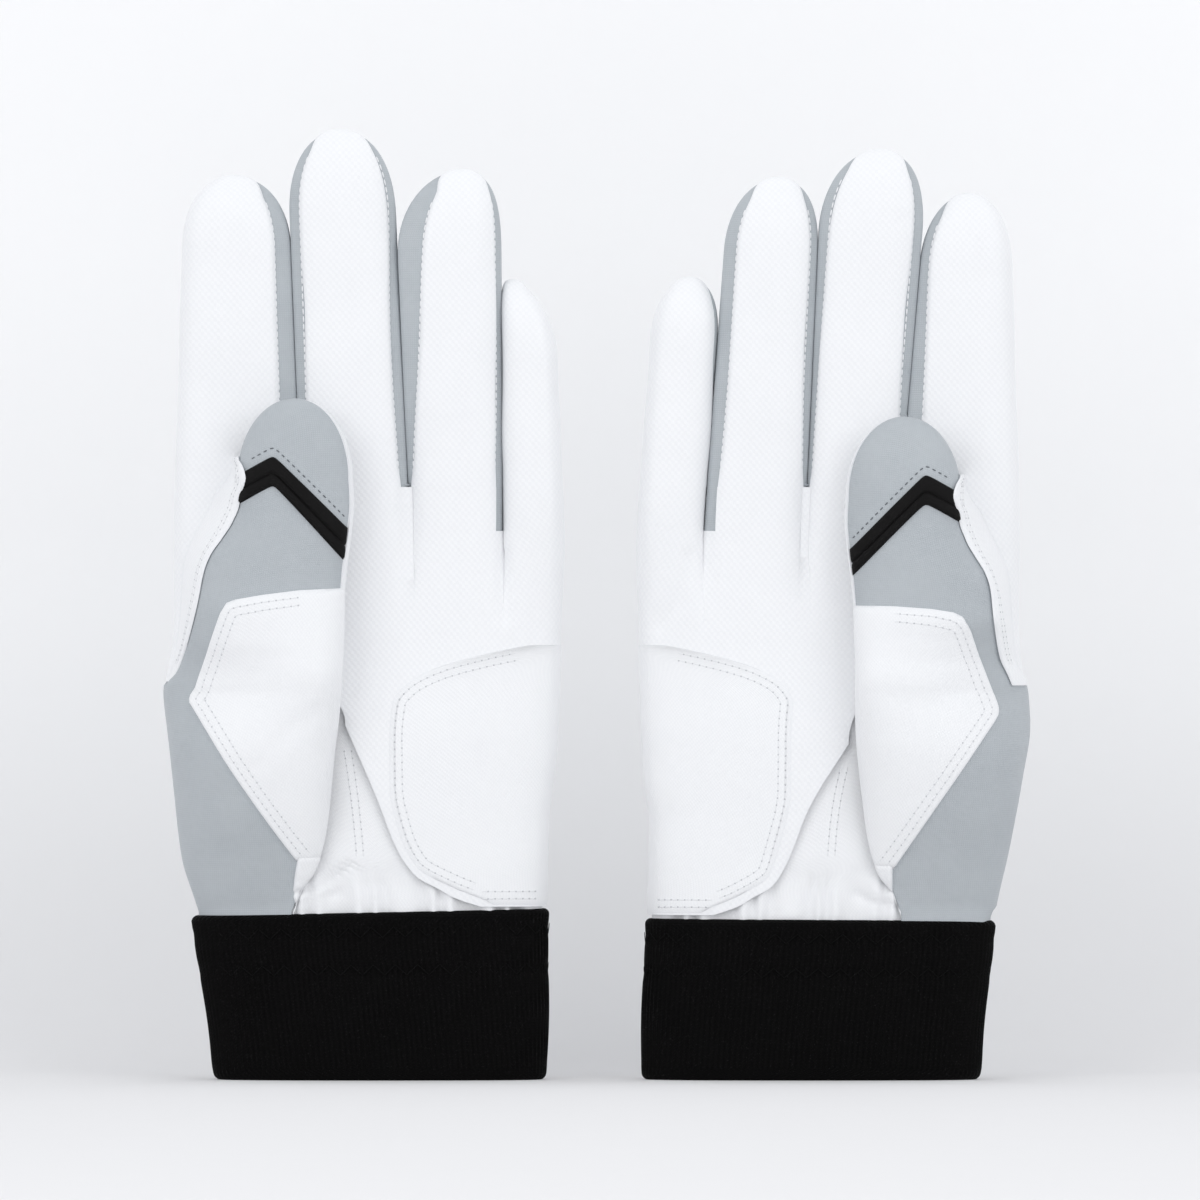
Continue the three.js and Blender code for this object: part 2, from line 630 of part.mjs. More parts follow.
/** The grey panel over the base of the thumb, from the cuff to the thumb's hinge. */
function thumbPanel(form) {
  const seam = radialSeam(form);
  const places = [...THUMB_PLACES, THUMB_RIM];
  const wrapHeights = levels(WRIST, THUMB_SPLIT, 6);
  const freeStart = THUMB_SPLIT + LIFT_OFF.above;
  const toFold = (along, share) => mix(freeStart, foldHeight(form, along) - SEAM_GAP, share);
  const faces = [];
  const points = [];
  const wrapRow = (z) => [
    handPoint(form, seam - 0.004, 1, z),
    handPoint(form, mix(seam, -1, 0.75), 1, z),
  ];
  const thumbRow = (heightAt) => places.map((along) => thumbPoint(form, along, -1, heightAt(along)));
  const addRow = (row) => row.map((point) => points.push(point) - 1);
  const wrapped = wrapHeights.map((z) => addRow([...wrapRow(z), ...thumbRow(() => z)]));
  const free = steps(6).map((share) => addRow(thumbRow((along) => toFold(along, share))));
  wrapped.slice(1).forEach((high, r) => joinRows(faces, wrapped[r], high));
  joinRows(faces, wrapped.at(-1).slice(2), free[0]);
  free.slice(1).forEach((high, r) => joinRows(faces, free[r], high));
  return thicken({ points, faces }, FABRIC);
}

/** Rows of the thumb's moving part from its fold to just under its tip, as heights at a place along it. */
function thumbTipRows(form) {
  const start = form.tip - THUMB_DOME;
  const straight = steps(3).map((t) => (along) => mix(foldHeight(form, along) + SEAM_GAP, start, t));
  const dome = [0.45, 0.75, 0.93].map((t) => () => mix(start, form.tip, t));
  return [...straight, ...dome];
}

const thumbTipApex = (form, shift) => new THREE.Vector3(form.tipX, THUMB_SETTING_Y + shift, form.tip);

function thumbTipPanel(form) {
  const places = [...THUMB_PLACES, THUMB_RIM];
  const rows = thumbTipRows(form).map((heightAt) =>
    places.map((along) => thumbPoint(form, along, -1, heightAt(along))),
  );
  return thicken(sheetOfRows([...rows, [thumbTipApex(form, -SEAM_GAP)]]), FABRIC);
}

/** A row of the leather that lines the thumb's palm side and rolls round its free edge. */
function thumbLeatherRow(form, heightAt) {
  const rimAlong = THUMB_RIM + 0.012;
  const rim = thumbPoint(form, rimAlong, -1, heightAt(rimAlong));
  const rear = [0.998, 0.9, 0.65, 0.35, 0.1].map((along) => thumbPoint(form, along, 1, heightAt(along)));
  return [rim, ...rear];
}

function thumbLeather(form) {
  const start = THUMB_HOLE_TOP + LINING_RISE;
  const heightAt = (share) => (along) => mix(start, foldHeight(form, along) - SEAM_GAP, share);
  return thicken(sheetOfRows(steps(3).map((share) => thumbLeatherRow(form, heightAt(share)))), LEATHER);
}

function thumbTipLeather(form) {
  const rows = thumbTipRows(form).map((heightAt) => thumbLeatherRow(form, heightAt));
  return thicken(sheetOfRows([...rows, [thumbTipApex(form, SEAM_GAP)]]), LEATHER);
}

/** The pentagonal wear patch over the base of the thumb. */
function thumbPatch(form) {
  const top = form.tip - PATCH_TOP_DROP;
  const bottom = WRIST + PATCH_FOOT.rise;
  const corner = mix(bottom, top, PATCH_CORNER.share);
  const left = through([
    [bottom, PATCH_FOOT.x],
    [corner - PATCH_CORNER.round, PATCH_CORNER.x + PATCH_CORNER.round / 2],
    [corner, PATCH_CORNER.x],
    [corner + PATCH_CORNER.round, PATCH_CORNER.x + PATCH_CORNER.round / 3],
    [top, PATCH_TOP_X],
  ]);
  const surface = (along, z) => thumbPoint(form, along, -1, z);
  const rows = steps(8).map((v) => {
    const z = mix(bottom, top, v);
    const [edge, free] = [form.thumbLeft(z), form.thumbRight(z)];
    const from = (left(z) - edge) / (free - edge);
    return steps(8).map((t) => {
      const along = mix(from, THUMB_RIM - 0.03, (1 - Math.cos(t * Math.PI)) / 2);
      return standOff(surface, along, z + PATCH_TOP_TILT * v * t, PATCH_GAP + PATCH);
    });
  });
  return thicken(sheetOfRows(rows), PATCH);
}

/** The black chevron band across the thumb. */
function thumbChevron(form) {
  const peak = form.tip - CHEVRON_DROP;
  const slopeAt = (x) => (x < form.chevronX ? CHEVRON_WEB_SLOPE : CHEVRON_EDGE_SLOPE);
  const ridge = (x) => peak - slopeAt(x) * Math.abs(x - form.chevronX);
  const surface = (along, z) => thumbPoint(form, along, -1, z);
  const row = (drop) =>
    THUMB_PLACES.slice(1).map((along) => {
      const x = mix(form.thumbLeft(peak - CHEVRON_BAND), form.thumbRight(peak - CHEVRON_BAND), along);
      return standOff(surface, along, ridge(x) - drop, PATCH_GAP + PATCH);
    });
  return thicken(sheetOfRows([row(CHEVRON_BAND), row(CHEVRON_BAND / 2), row(0)]), PATCH);
}

/** The web of index-side leather that laps forward to the thumb's seam. */
function webFlap(form) {
  const rows = levels(THUMB_HOLE_TOP + WEB_RISE, form.tip - THUMB_DOME, 6).map((z) => {
    const seam = thumbPoint(form, 0.03, -1, z);
    const start = form.radialEdge(z) + WEB_START.x;
    const palm = handPoint(form, acrossAt(form, start, z), -1, z).y - LEATHER - WEB_START.gap;
    return steps(3).map((t) => {
      const x = mix(start, seam.x - WEB_LAP.x, t);
      return new THREE.Vector3(x, mix(palm, seam.y - WEB_LAP.y, t ** 0.8), z);
    });
  });
  return thicken(sheetOfRows(rows), LEATHER);
}

// Cuff

/** A point of the cuff at an angle round the wrist, set in from its outer face. */
function cuffPoint(angle, inset, z) {
  const taper = CUFF_THUMB_SIDE_TAPER * (1 - z / CUFF_HEIGHT);
  const [c, s] = [Math.cos(angle), Math.sin(angle)];
  const round = (value) => Math.sign(value) * Math.abs(value) ** (2 / SECTION_POWER);
  return new THREE.Vector3(
    taper / 2 + (CUFF_HALF_WIDTH - taper / 2 - inset) * round(c),
    (CUFF_HALF_DEPTH - inset) * round(s),
    z,
  );
}

const CUFF_LOOP = steps(28)
  .slice(1)
  .map((t) => t * 2 * Math.PI);

function cuffKnit() {
  const pocket = CUFF_OUTER_WALL + CUFF_POCKET;
  const inside = pocket + CUFF_LINING;
  const profile = [
    [CUFF_EDGE_ROUND, 0],
    [0, CUFF_EDGE_ROUND],
    [0, CUFF_HEIGHT - CUFF_EDGE_ROUND],
    [CUFF_EDGE_ROUND, CUFF_HEIGHT],
    [CUFF_OUTER_WALL, CUFF_HEIGHT],
    [CUFF_OUTER_WALL, CUFF_HEM],
    [pocket, CUFF_HEM],
    [pocket, CUFF_HEIGHT],
    [inside, CUFF_HEIGHT],
    [inside, CUFF_EDGE_ROUND],
    [inside - CUFF_EDGE_ROUND, 0],
  ];
  return ringOf(profile, CUFF_LOOP, cuffPoint);
}

function cuffElastic() {
  const [outer, inner] = [CUFF_OUTER_WALL + LAYER_GAP, CUFF_OUTER_WALL + CUFF_POCKET - LAYER_GAP];
  const [low, high] = [CUFF_HEM + LAYER_GAP, CUFF_HEM + LAYER_GAP + ELASTIC_HEIGHT];
  const profile = [
    [outer, low],
    [outer, high],
    [inner, high],
    [inner, low],
  ];
  return ringOf(profile, CUFF_LOOP, cuffPoint);
}

// Assembly

/** One glove as a group of named pieces. */
function buildGlove(side, hand) {
  const form = formOf(hand);
  const [index, middle, ring, little] = form.fingers;
  const { whiteLeather, greyFabric, blackTrim, blackKnit, elasticTape } = FINISHES;
  const glove = new THREE.Group();
  const add = (name, geometry, material) => {
    const mesh = new THREE.Mesh(geometry, material);
    mesh.name = `${side}_${name}`;
    glove.add(mesh);
  };
  add("palm_leather", palmLeather(form), whiteLeather);
  add("hand_back", handBack(form), greyFabric);
  add("wrist_gusset", wristGusset(form), whiteLeather);
  add("heel_pad", heelPad(form), whiteLeather);
  add("fourchette_index_middle", fourchette(index, middle, FINGER_ROOT), greyFabric);
  add("fourchette_middle_ring", fourchette(middle, ring, FINGER_ROOT), greyFabric);
  add("fourchette_ring_little", fourchette(ring, little, LITTLE_CROTCH), greyFabric);
  for (const finger of form.fingers) {
    add(`${finger.name}_front`, fingerFront(finger), whiteLeather);
    add(`${finger.name}_back`, fingerBack(finger), greyFabric);
    if (finger !== index) add(`${finger.name}_thumb_side`, fingerSide(finger, -1), greyFabric);
    if (finger !== little) add(`${finger.name}_outer_side`, fingerSide(finger, 1), greyFabric);
  }
  add("thumb_panel", thumbPanel(form), greyFabric);
  add("thumb_patch", thumbPatch(form), whiteLeather);
  add("thumb_leather", thumbLeather(form), whiteLeather);
  add("thumb_tip_panel", thumbTipPanel(form), greyFabric);
  add("thumb_tip_leather", thumbTipLeather(form), whiteLeather);
  add("thumb_chevron", thumbChevron(form), blackTrim);
  add("web_flap", webFlap(form), whiteLeather);
  add("cuff_knit", cuffKnit(), blackKnit);
  add("cuff_elastic", cuffElastic(), elasticTape);
  glove.position.set((-hand.mirror * GLOVE_SPACING) / 2, DEPTH_SHIFT, 0);
  glove.scale.x = hand.mirror;
  return glove;
}

const pair = new THREE.Group();
for (const [side, hand] of Object.entries(HANDS)) pair.add(buildGlove(side, hand));
const middle = new THREE.Box3().setFromObject(pair).getCenter(new THREE.Vector3());
pair.position.set(-middle.x, -middle.y, 0);

export default pair;
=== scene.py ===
"""A pair of batting gloves standing on their knit cuffs, palms to the camera.

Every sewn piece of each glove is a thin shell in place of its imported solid, with the leather's
embossing, the fabric's weave, the cuff's knit and the rows of stitching. Forms are worked out in
millimetres in the left glove's own frame, where x runs from the thumb side to the little finger's
side, and the right glove is its mirror image with its own pose. Blender's units are metres.
"""

from __future__ import annotations

import logging
import math
from dataclasses import dataclass, field
from enum import Enum
from typing import Callable, Sequence

import bmesh
import bpy
import numpy as np
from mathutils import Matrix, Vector

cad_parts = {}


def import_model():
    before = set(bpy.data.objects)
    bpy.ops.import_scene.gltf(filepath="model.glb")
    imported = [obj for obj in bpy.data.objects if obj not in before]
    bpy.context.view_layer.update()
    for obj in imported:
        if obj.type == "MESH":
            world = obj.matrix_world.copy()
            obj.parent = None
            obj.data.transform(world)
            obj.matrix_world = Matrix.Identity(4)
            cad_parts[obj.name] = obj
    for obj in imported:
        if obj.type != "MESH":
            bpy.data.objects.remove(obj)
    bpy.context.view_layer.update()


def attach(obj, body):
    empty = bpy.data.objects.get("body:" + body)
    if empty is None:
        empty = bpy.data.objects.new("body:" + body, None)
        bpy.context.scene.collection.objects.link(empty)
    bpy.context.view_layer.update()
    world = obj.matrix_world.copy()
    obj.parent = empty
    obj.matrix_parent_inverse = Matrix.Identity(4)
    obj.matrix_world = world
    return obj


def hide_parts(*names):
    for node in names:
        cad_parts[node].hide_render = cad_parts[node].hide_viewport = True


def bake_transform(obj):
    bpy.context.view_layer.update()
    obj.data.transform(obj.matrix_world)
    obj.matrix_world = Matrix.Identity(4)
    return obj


LOG = logging.getLogger("batting_gloves")
Array = np.ndarray
Surface = Callable[[Array, Array], Array]
Stations = tuple[tuple[float, float], ...]
Angles = tuple[float, float, float]
Widths = tuple[float, float, float, float]
Colour = tuple[float, float, float]
Outline = Sequence[tuple[float, float]]

MM = 0.001
GLOVE_SPACING = 112.3
DEPTH_SHIFT = 7.5
PAIR_SHIFT = (0.152, 0.0154, 0.0)
WEAVE = "weave"
UP = np.array([0.0, 0.0, 1.0])
SHARP_ANGLE = math.radians(58)
MERGE_DISTANCE = 1e-6
FLAT_DISTANCE = 1e-7
FAR_FROM_EDGE = 9.0
ROW_SLACK = 0.01
RIDGE_GAP = 0.15
SWELL_WAVES = 6
SWELL_LENGTHS = (0.7, 1.6)


# Curves and blends


def mix(low: Array | float, high: Array | float, share: Array | float) -> Array:
    """The value a share of the way from one to another."""
    return low + (high - low) * share


def smooth(share: Array) -> Array:
    """A share from 0 to 1, made to start and end level."""
    return share * share * (3 - 2 * share)


def ease(value: Array | float, low: float, high: float) -> Array:
    """A smooth step from 0 at low to 1 at high."""
    return smooth(np.clip((np.asarray(value, dtype=float) - low) / (high - low), 0.0, 1.0))


def hump(value: Array, rise: tuple[float, float], fall: tuple[float, float]) -> Array:
    """A smooth step from 0 to 1 over one range, and back to 0 over another."""
    return ease(value, *rise) * (1 - ease(value, *fall))


def crown(across: Array | float, power: float) -> Array:
    """How far a rounded section stands out, from 1 in its middle to 0 at its ends."""
    return np.clip(1 - np.abs(across) ** power, 0.0, None) ** (1 / power)


def spread(count: int) -> Array:
    """Shares from 0 to 1, closer together towards both ends."""
    return (1 - np.cos(np.linspace(0, math.pi, count))) / 2


def lay(x: Array, y: Array, z: Array) -> Array:
    """Points from their three coordinates."""
    return np.stack(np.broadcast_arrays(x, y, z), axis=-1).astype(float)


def rounding(inside: Array, radius: float) -> Array:
    """The share of its height that an edge rounded to a radius has, at distances inside it."""
    return np.sqrt(1 - (1 - np.clip(inside / radius, 0, 1)) ** 2)


def dome_rows(tip: float, dome: float, count: int) -> Array:
    """Heights of the rows above the foot of a rounded tip, closer together towards its top."""
    return tip - dome + dome * np.sin(np.linspace(0, math.pi / 2, count))[1:]


def unit(vectors: Array) -> Array:
    """The vectors at a length of 1."""
    return vectors / np.maximum(np.linalg.norm(vectors, axis=-1, keepdims=True), 1e-9)


def run_of(points: Array, axis: int = 0) -> Array:
    """How far along its line each point of a line or grid lies; lines run along the axis."""
    steps = np.linalg.norm(np.diff(points, axis=axis), axis=-1).cumsum(axis=axis)
    return np.pad(steps, [(int(i == axis), 0) for i in range(steps.ndim)])


@dataclass(frozen=True)
class Swell:
    """A gentle uneven swell of a surface, in millimetres.

    Attributes:
        wave: The usual length of one wave.
        height: The height that most of it keeps within.
        seed: Which swell it is.
    """

    wave: float
    height: float
    seed: int

    def of(self, name: str) -> Swell:
        """The swell of this kind that belongs to a finger."""
        return Swell(self.wave, self.height, self.seed + len(name))

    def on(self, points: Array) -> Array:
        """Works out the swell.

        Args:
            points: Points on the surface.

        Returns:
            How far each of them is moved out.
        """
        draw = np.random.default_rng(self.seed)
        ways = unit(draw.normal(size=(SWELL_WAVES, 3)))
        lengths = self.wave * draw.uniform(*SWELL_LENGTHS, size=SWELL_WAVES)
        phases = draw.uniform(0, 2 * math.pi, size=SWELL_WAVES)
        turns = points @ (ways / lengths[:, None]).T * 2 * math.pi + phases
        return np.sin(turns).sum(axis=-1) / (SWELL_WAVES / 2) * self.height


@dataclass(frozen=True)
class Curve:
    """A smooth curve through (position, value) stations that never overshoots them."""

    stations: Stations

    def __call__(self, at: Array | float) -> Array:
        """Reads the curve.

        Args:
            at: Positions, taken to the curve's ends where they lie beyond them.

        Returns:
            The value at each position.
        """
        xs, ys = np.array(self.stations, dtype=float).T
        slopes = np.diff(ys) / np.diff(xs)
        inner = slopes[:-1] * slopes[1:]
        total = slopes[:-1] + slopes[1:]
        safe = np.where(inner > 0, total, 1.0)
        middle = np.where(inner > 0, 2 * inner / safe, 0.0)
        tangents = np.concatenate([slopes[:1], middle, slopes[-1:]])
        place = np.clip(np.asarray(at, dtype=float), xs[0], xs[-1])
        i = np.clip(np.searchsorted(xs, place, side="right") - 1, 0, len(xs) - 2)
        span = xs[i + 1] - xs[i]
        t = (place - xs[i]) / span
        flat = mix(ys[i], ys[i + 1], smooth(t))
        return flat + span * (t * (1 - t) ** 2 * tangents[i] - t * t * (1 - t) * tangents[i + 1])


# Shader graphs


class Sock:
    """A node's output socket that can be used in Python sums."""

    def __init__(self, graph: Graph, socket: bpy.types.NodeSocket) -> None:
        """Keeps the socket and the graph that it belongs to."""
        self.graph = graph
        self.socket = socket

    def math(self, operation: str, *others: Sock | float) -> Sock:
        """A Math node's operation on this value and others."""
        return self.graph.math(operation, self, *others)

    def __add__(self, other: Sock | float) -> Sock:
        """This plus other."""
        return self.math("ADD", other)

    __radd__ = __add__

    def __mul__(self, other: Sock | float) -> Sock:
        """This times other."""
        return self.math("MULTIPLY", other)

    __rmul__ = __mul__

    def __sub__(self, other: Sock | float) -> Sock:
        """This less other."""
        return self.math("SUBTRACT", other)

    def __rsub__(self, other: float) -> Sock:
        """Other less this."""
        return self.graph.math("SUBTRACT", other, self)

    def swing(self, period: float) -> Sock:
        """A wave of this value between -1 and 1."""
        return (self * (2 * math.pi / period)).math("SINE")

    def wave(self, period: float) -> Sock:
        """A wave of this value between 0 and 1."""
        return self.swing(period) * 0.5 + 0.5

    def step(self, low: float, high: float) -> Sock:
        """A smooth step of this value.

        Args:
            low: The value where it is 0.
            high: The value where it is 1.

        Returns:
            The step.
        """
        settings = {"interpolation_type": "SMOOTHSTEP"}
        inputs = {"Value": self, "From Min": low, "From Max": high}
        return self.graph.node("ShaderNodeMapRange", settings, inputs, "Result")


class Graph:
    """The nodes of one material."""

    def __init__(self, name: str) -> None:
        """Starts a material with its Principled shader.

        Args:
            name: The material's name.
        """
        self.material = bpy.data.materials.new(name)
        self.material.use_nodes = True
        self.tree = self.material.node_tree
        self.shader = self.tree.nodes["Principled BSDF"]

    def node(self, kind: str, settings: dict, inputs: dict, output: str | int = 0) -> Sock:
        """Adds a node.

        Args:
            kind: The node's type.
            settings: Values of the node's own settings.
            inputs: A value or a link for each named input.
            output: The output that is wanted.

        Returns:
            That output.
        """
        node = self.tree.nodes.new(kind)
        for key, value in settings.items():
            setattr(node, key, value)
        for key, value in inputs.items():
            self.feed(node.inputs[key], value)
        return Sock(self, node.outputs[output])

    def feed(self, socket: bpy.types.NodeSocket, value: object) -> None:
        """Links a socket to another, or sets its value."""
        if isinstance(value, Sock):
            self.tree.links.new(value.socket, socket)
        else:
            socket.default_value = value

    def math(self, operation: str, *values: Sock | float) -> Sock:
        """A Math node on one to three values."""
        return self.node("ShaderNodeMath", {"operation": operation}, dict(enumerate(values)))

    def weave(self) -> tuple[Sock, Sock, Sock]:
        """Reads the piece's own cloth coordinates.

        Returns:
            The two coordinates in millimetres, and the distance from the piece's edge.
        """
        vector = self.node("ShaderNodeAttribute", {"attribute_name": WEAVE}, {}, "Vector")
        inputs = {"Vector": vector}
        return tuple(self.node("ShaderNodeSeparateXYZ", {}, inputs, axis) for axis in "XYZ")

    def place(self) -> Sock:
        """The point on the object, in metres."""
        return self.node("ShaderNodeTexCoord", {}, {}, "Object")

    def noise(self, size_mm: float, detail: float = 3.0) -> Sock:
        """Uneven values about 0.5, with patches of a size in millimetres."""
        inputs = {"Vector": self.place(), "Scale": 1 / (size_mm * MM), "Detail": detail}
        return self.node("ShaderNodeTexNoise", {}, inputs, 0)

    def tint(self, share: Sock, low: Sequence[float], high: Sequence[float]) -> Sock:
        """A colour between two."""
        inputs = {0: share, 6: (*low, 1.0), 7: (*high, 1.0)}
        return self.node("ShaderNodeMix", {"data_type": "RGBA"}, inputs, 2)

    def bump(self, height: Sock, depth_mm: float) -> Sock:
        """A Normal from a height between 0 and 1."""
        inputs = {"Height": height, "Distance": depth_mm * MM, "Strength": 1.0}
        return self.node("ShaderNodeBump", {}, inputs, "Normal")

    def dress(self, **sockets: object) -> bpy.types.Material:
        """Feeds the shader's sockets.

        Args:
            sockets: A value or a link for each socket, named with underscores for spaces.

        Returns:
            The material.
        """
        for key, value in sockets.items():
            self.feed(self.shader.inputs[key.replace("_", " ")], value)
        return self.material


# Finishes


@dataclass(frozen=True)
class Leather:
    """White synthetic leather with a fine embossed diamond grain."""

    name: str = "embossed_white_leather"
    colour: Colour = (0.915, 0.919, 0.928)
    shade: Colour = (0.865, 0.872, 0.888)
    pitch: float = 1.55
    slant: float = 0.85
    emboss: float = 0.05

    def material(self) -> bpy.types.Material:
        """Makes the leather's material.

        Returns:
            The material.
        """
        graph = Graph(self.name)
        u, v, edge = graph.weave()
        rise, fall = u + v * self.slant, u - v * self.slant
        dots = (rise.swing(self.pitch) + fall.swing(self.pitch)) * 0.25 + 0.5
        pore = graph.noise(0.5)
        mottle = graph.noise(9.0)
        height = dots.step(0.25, 0.8) * 0.75 + pore * 0.25
        # Darker towards the piece's edges.
        darker_at_edges = edge.step(0.0, 1.6)
        share = (dots.step(0.3, 0.75) * 0.5 + mottle * 0.5) * darker_at_edges
        return graph.dress(
            Base_Color=graph.tint(share, self.shade, self.colour),
            Roughness=mottle * 0.14 + 0.46,
            Normal=graph.bump(height, self.emboss),
            Specular_IOR_Level=0.35,
        )


@dataclass(frozen=True)
class SmoothLeather(Leather):
    """The same leather with a finer, flatter grain, used for patches."""

    name: str = "smooth_white_leather"
    colour: Colour = (0.92, 0.924, 0.932)
    pitch: float = 0.9
    emboss: float = 0.04


@dataclass(frozen=True)
class Cloth:
    """Grey stretch fabric with a close plain weave."""

    name: str = "grey_stretch_fabric"
    colour: Colour = (0.490, 0.521, 0.544)
    shade: Colour = (0.416, 0.447, 0.473)
    pitch: float = 0.55

    def material(self) -> bpy.types.Material:
        """Makes the fabric's material.

        Returns:
            The material.
        """
        graph = Graph(self.name)
        u, v, edge = graph.weave()
        threads = u.wave(self.pitch) * v.wave(self.pitch)
        slub = graph.noise(1.4)
        mottle = graph.noise(14.0)
        # Darker towards the piece's edges.
        darker_at_edges = edge.step(0.0, 1.0) * 0.35 + 0.65
        share = (threads * 0.35 + slub * 0.25 + mottle * 0.4) * darker_at_edges
        return graph.dress(
            Base_Color=graph.tint(share.step(0.1, 0.6), self.shade, self.colour),
            Roughness=slub * 0.1 + 0.78,
            Normal=graph.bump(threads * 0.6 + slub * 0.4, 0.07),
            Sheen_Weight=0.12,
            Sheen_Roughness=0.5,
            Specular_IOR_Level=0.25,
        )


@dataclass(frozen=True)
class Knit:
    """Black elastic knit with fine upright ribs."""

    name: str = "black_ribbed_knit"
    colour: Colour = (0.0042, 0.0039, 0.004)
    shade: Colour = (0.0015, 0.0015, 0.0015)
    rib: float = 1.55
    course: float = 0.75

    def material(self) -> bpy.types.Material:
        """Makes the knit's material.

        Returns:
            The material.
        """
        graph = Graph(self.name)
        u, v, _ = graph.weave()
        rib = u.wave(self.rib)
        loop = (v + u.swing(self.rib) * 0.2).swing(self.course)
        lint = graph.noise(0.6)
        mottle = graph.noise(12.0)
        height = rib * 0.5 + loop * 0.15 + lint * 0.3
        share = rib * 0.5 + mottle * 0.3 + lint * 0.2
        return graph.dress(
            Base_Color=graph.tint(share, self.shade, self.colour),
            Roughness=lint * 0.1 + 0.86,
            Normal=graph.bump(height, 0.22),
            Sheen_Weight=0.02,
            Sheen_Roughness=0.4,
            Specular_IOR_Level=0.07,
        )


@dataclass(frozen=True)
class Trim:
    """Black trim of the chevron, softly grained."""

    name: str = "black_chevron_trim"
    colour: Colour = (0.0065, 0.006, 0.006)
    shade: Colour = (0.0035, 0.0032, 0.0032)
    rough: float = 0.62

    def material(self) -> bpy.types.Material:
        """Makes the trim's material.

        Returns:
            The material.
        """
        graph = Graph(self.name)
        grain = graph.noise(0.7)
        mottle = graph.noise(5.0)
        return graph.dress(
            Base_Color=graph.tint(mottle, self.shade, self.colour),
            Roughness=grain * 0.15 + self.rough - 0.07,
            Normal=graph.bump(grain, 0.06),
            Specular_IOR_Level=0.12,
        )


@dataclass(frozen=True)
class Thread:
    """Twisted sewing thread."""

    name: str
    colour: Colour
    shade: Colour

    def material(self) -> bpy.types.Material:
        """Makes the thread's material.

        Returns:
            The material.
        """
        graph = Graph(self.name)
        twist = graph.noise(0.35, 1.0)
        return graph.dress(
            Base_Color=graph.tint(twist, self.shade, self.colour),
            Roughness=twist * 0.2 + 0.6,
            Normal=graph.bump(twist, 0.08),
            Specular_IOR_Level=0.12,
        )


@dataclass(frozen=True)
class Backdrop:
    """Matt pale paper under and behind the gloves, seen from its front alone, its floor in painted
    shade.
    """

    name: str = "pale_paper"
    colour: Colour = (0.985, 0.982, 0.985)
    # The floor's darker colour is painted shade, holding it down to the wall's brightness under the
    # light from above.
    floor: Colour = (0.80, 0.795, 0.80)

    def material(self) -> bpy.types.Material:
        """Makes the paper's material.

        Returns:
            The material.
        """
        graph = Graph(self.name)
        height = graph.node("ShaderNodeSeparateXYZ", {}, {"Vector": graph.place()}, "Z")
        # Painted shade: darker towards the floor, with a faint random mottle.
        share = height.step(0.0, 0.14) * 0.96 + graph.noise(30.0) * 0.04
        return graph.dress(
            Base_Color=graph.tint(share, self.floor, self.colour),
            Alpha=1 - graph.node("ShaderNodeNewGeometry", {}, {}, "Backfacing"),
            Roughness=0.9,
            Specular_IOR_Level=0.1,
        )


class Finish(Enum):
    """The finishes of the pair, each with its recipe and the record's slot."""

    LEATHER = (Leather(), "white_leather")
    PATCH = (SmoothLeather(), "white_leather")
    CLOTH = (Cloth(), "grey_fabric")
    KNIT = (Knit(), "black_knit")
    TRIM = (Trim(), "black_trim")
    WHITE_THREAD = (
        Thread("white_thread", (0.87, 0.875, 0.885), (0.80, 0.81, 0.825)),
        "white_leather",
    )
    # Grey dots of painted shade, standing for the dark inside the needle holes.
    NEEDLE_HOLE_SHADE = (
        Thread("needle_hole", (0.66, 0.67, 0.685), (0.58, 0.59, 0.605)),
        "white_leather",
    )
    GREY_THREAD = (Thread("grey_thread", (0.20, 0.215, 0.23), (0.13, 0.14, 0.15)), "grey_fabric")
    BLACK_THREAD = (
        Thread("black_thread", (0.0022, 0.0022, 0.0022), (0.001, 0.001, 0.001)),
        "black_knit",
    )
    ELASTIC = (Cloth("woven_elastic", (0.66, 0.66, 0.63), (0.55, 0.55, 0.52), 0.9), "elastic_tape")

    @property
    def slot(self) -> str:
        """The record's material slot."""
        return self.value[1]

    def material(self) -> bpy.types.Material:
        """The finish's material, made once."""
        recipe = self.value[0]
        return bpy.data.materials.get(recipe.name) or recipe.material()


# Sheets and shells


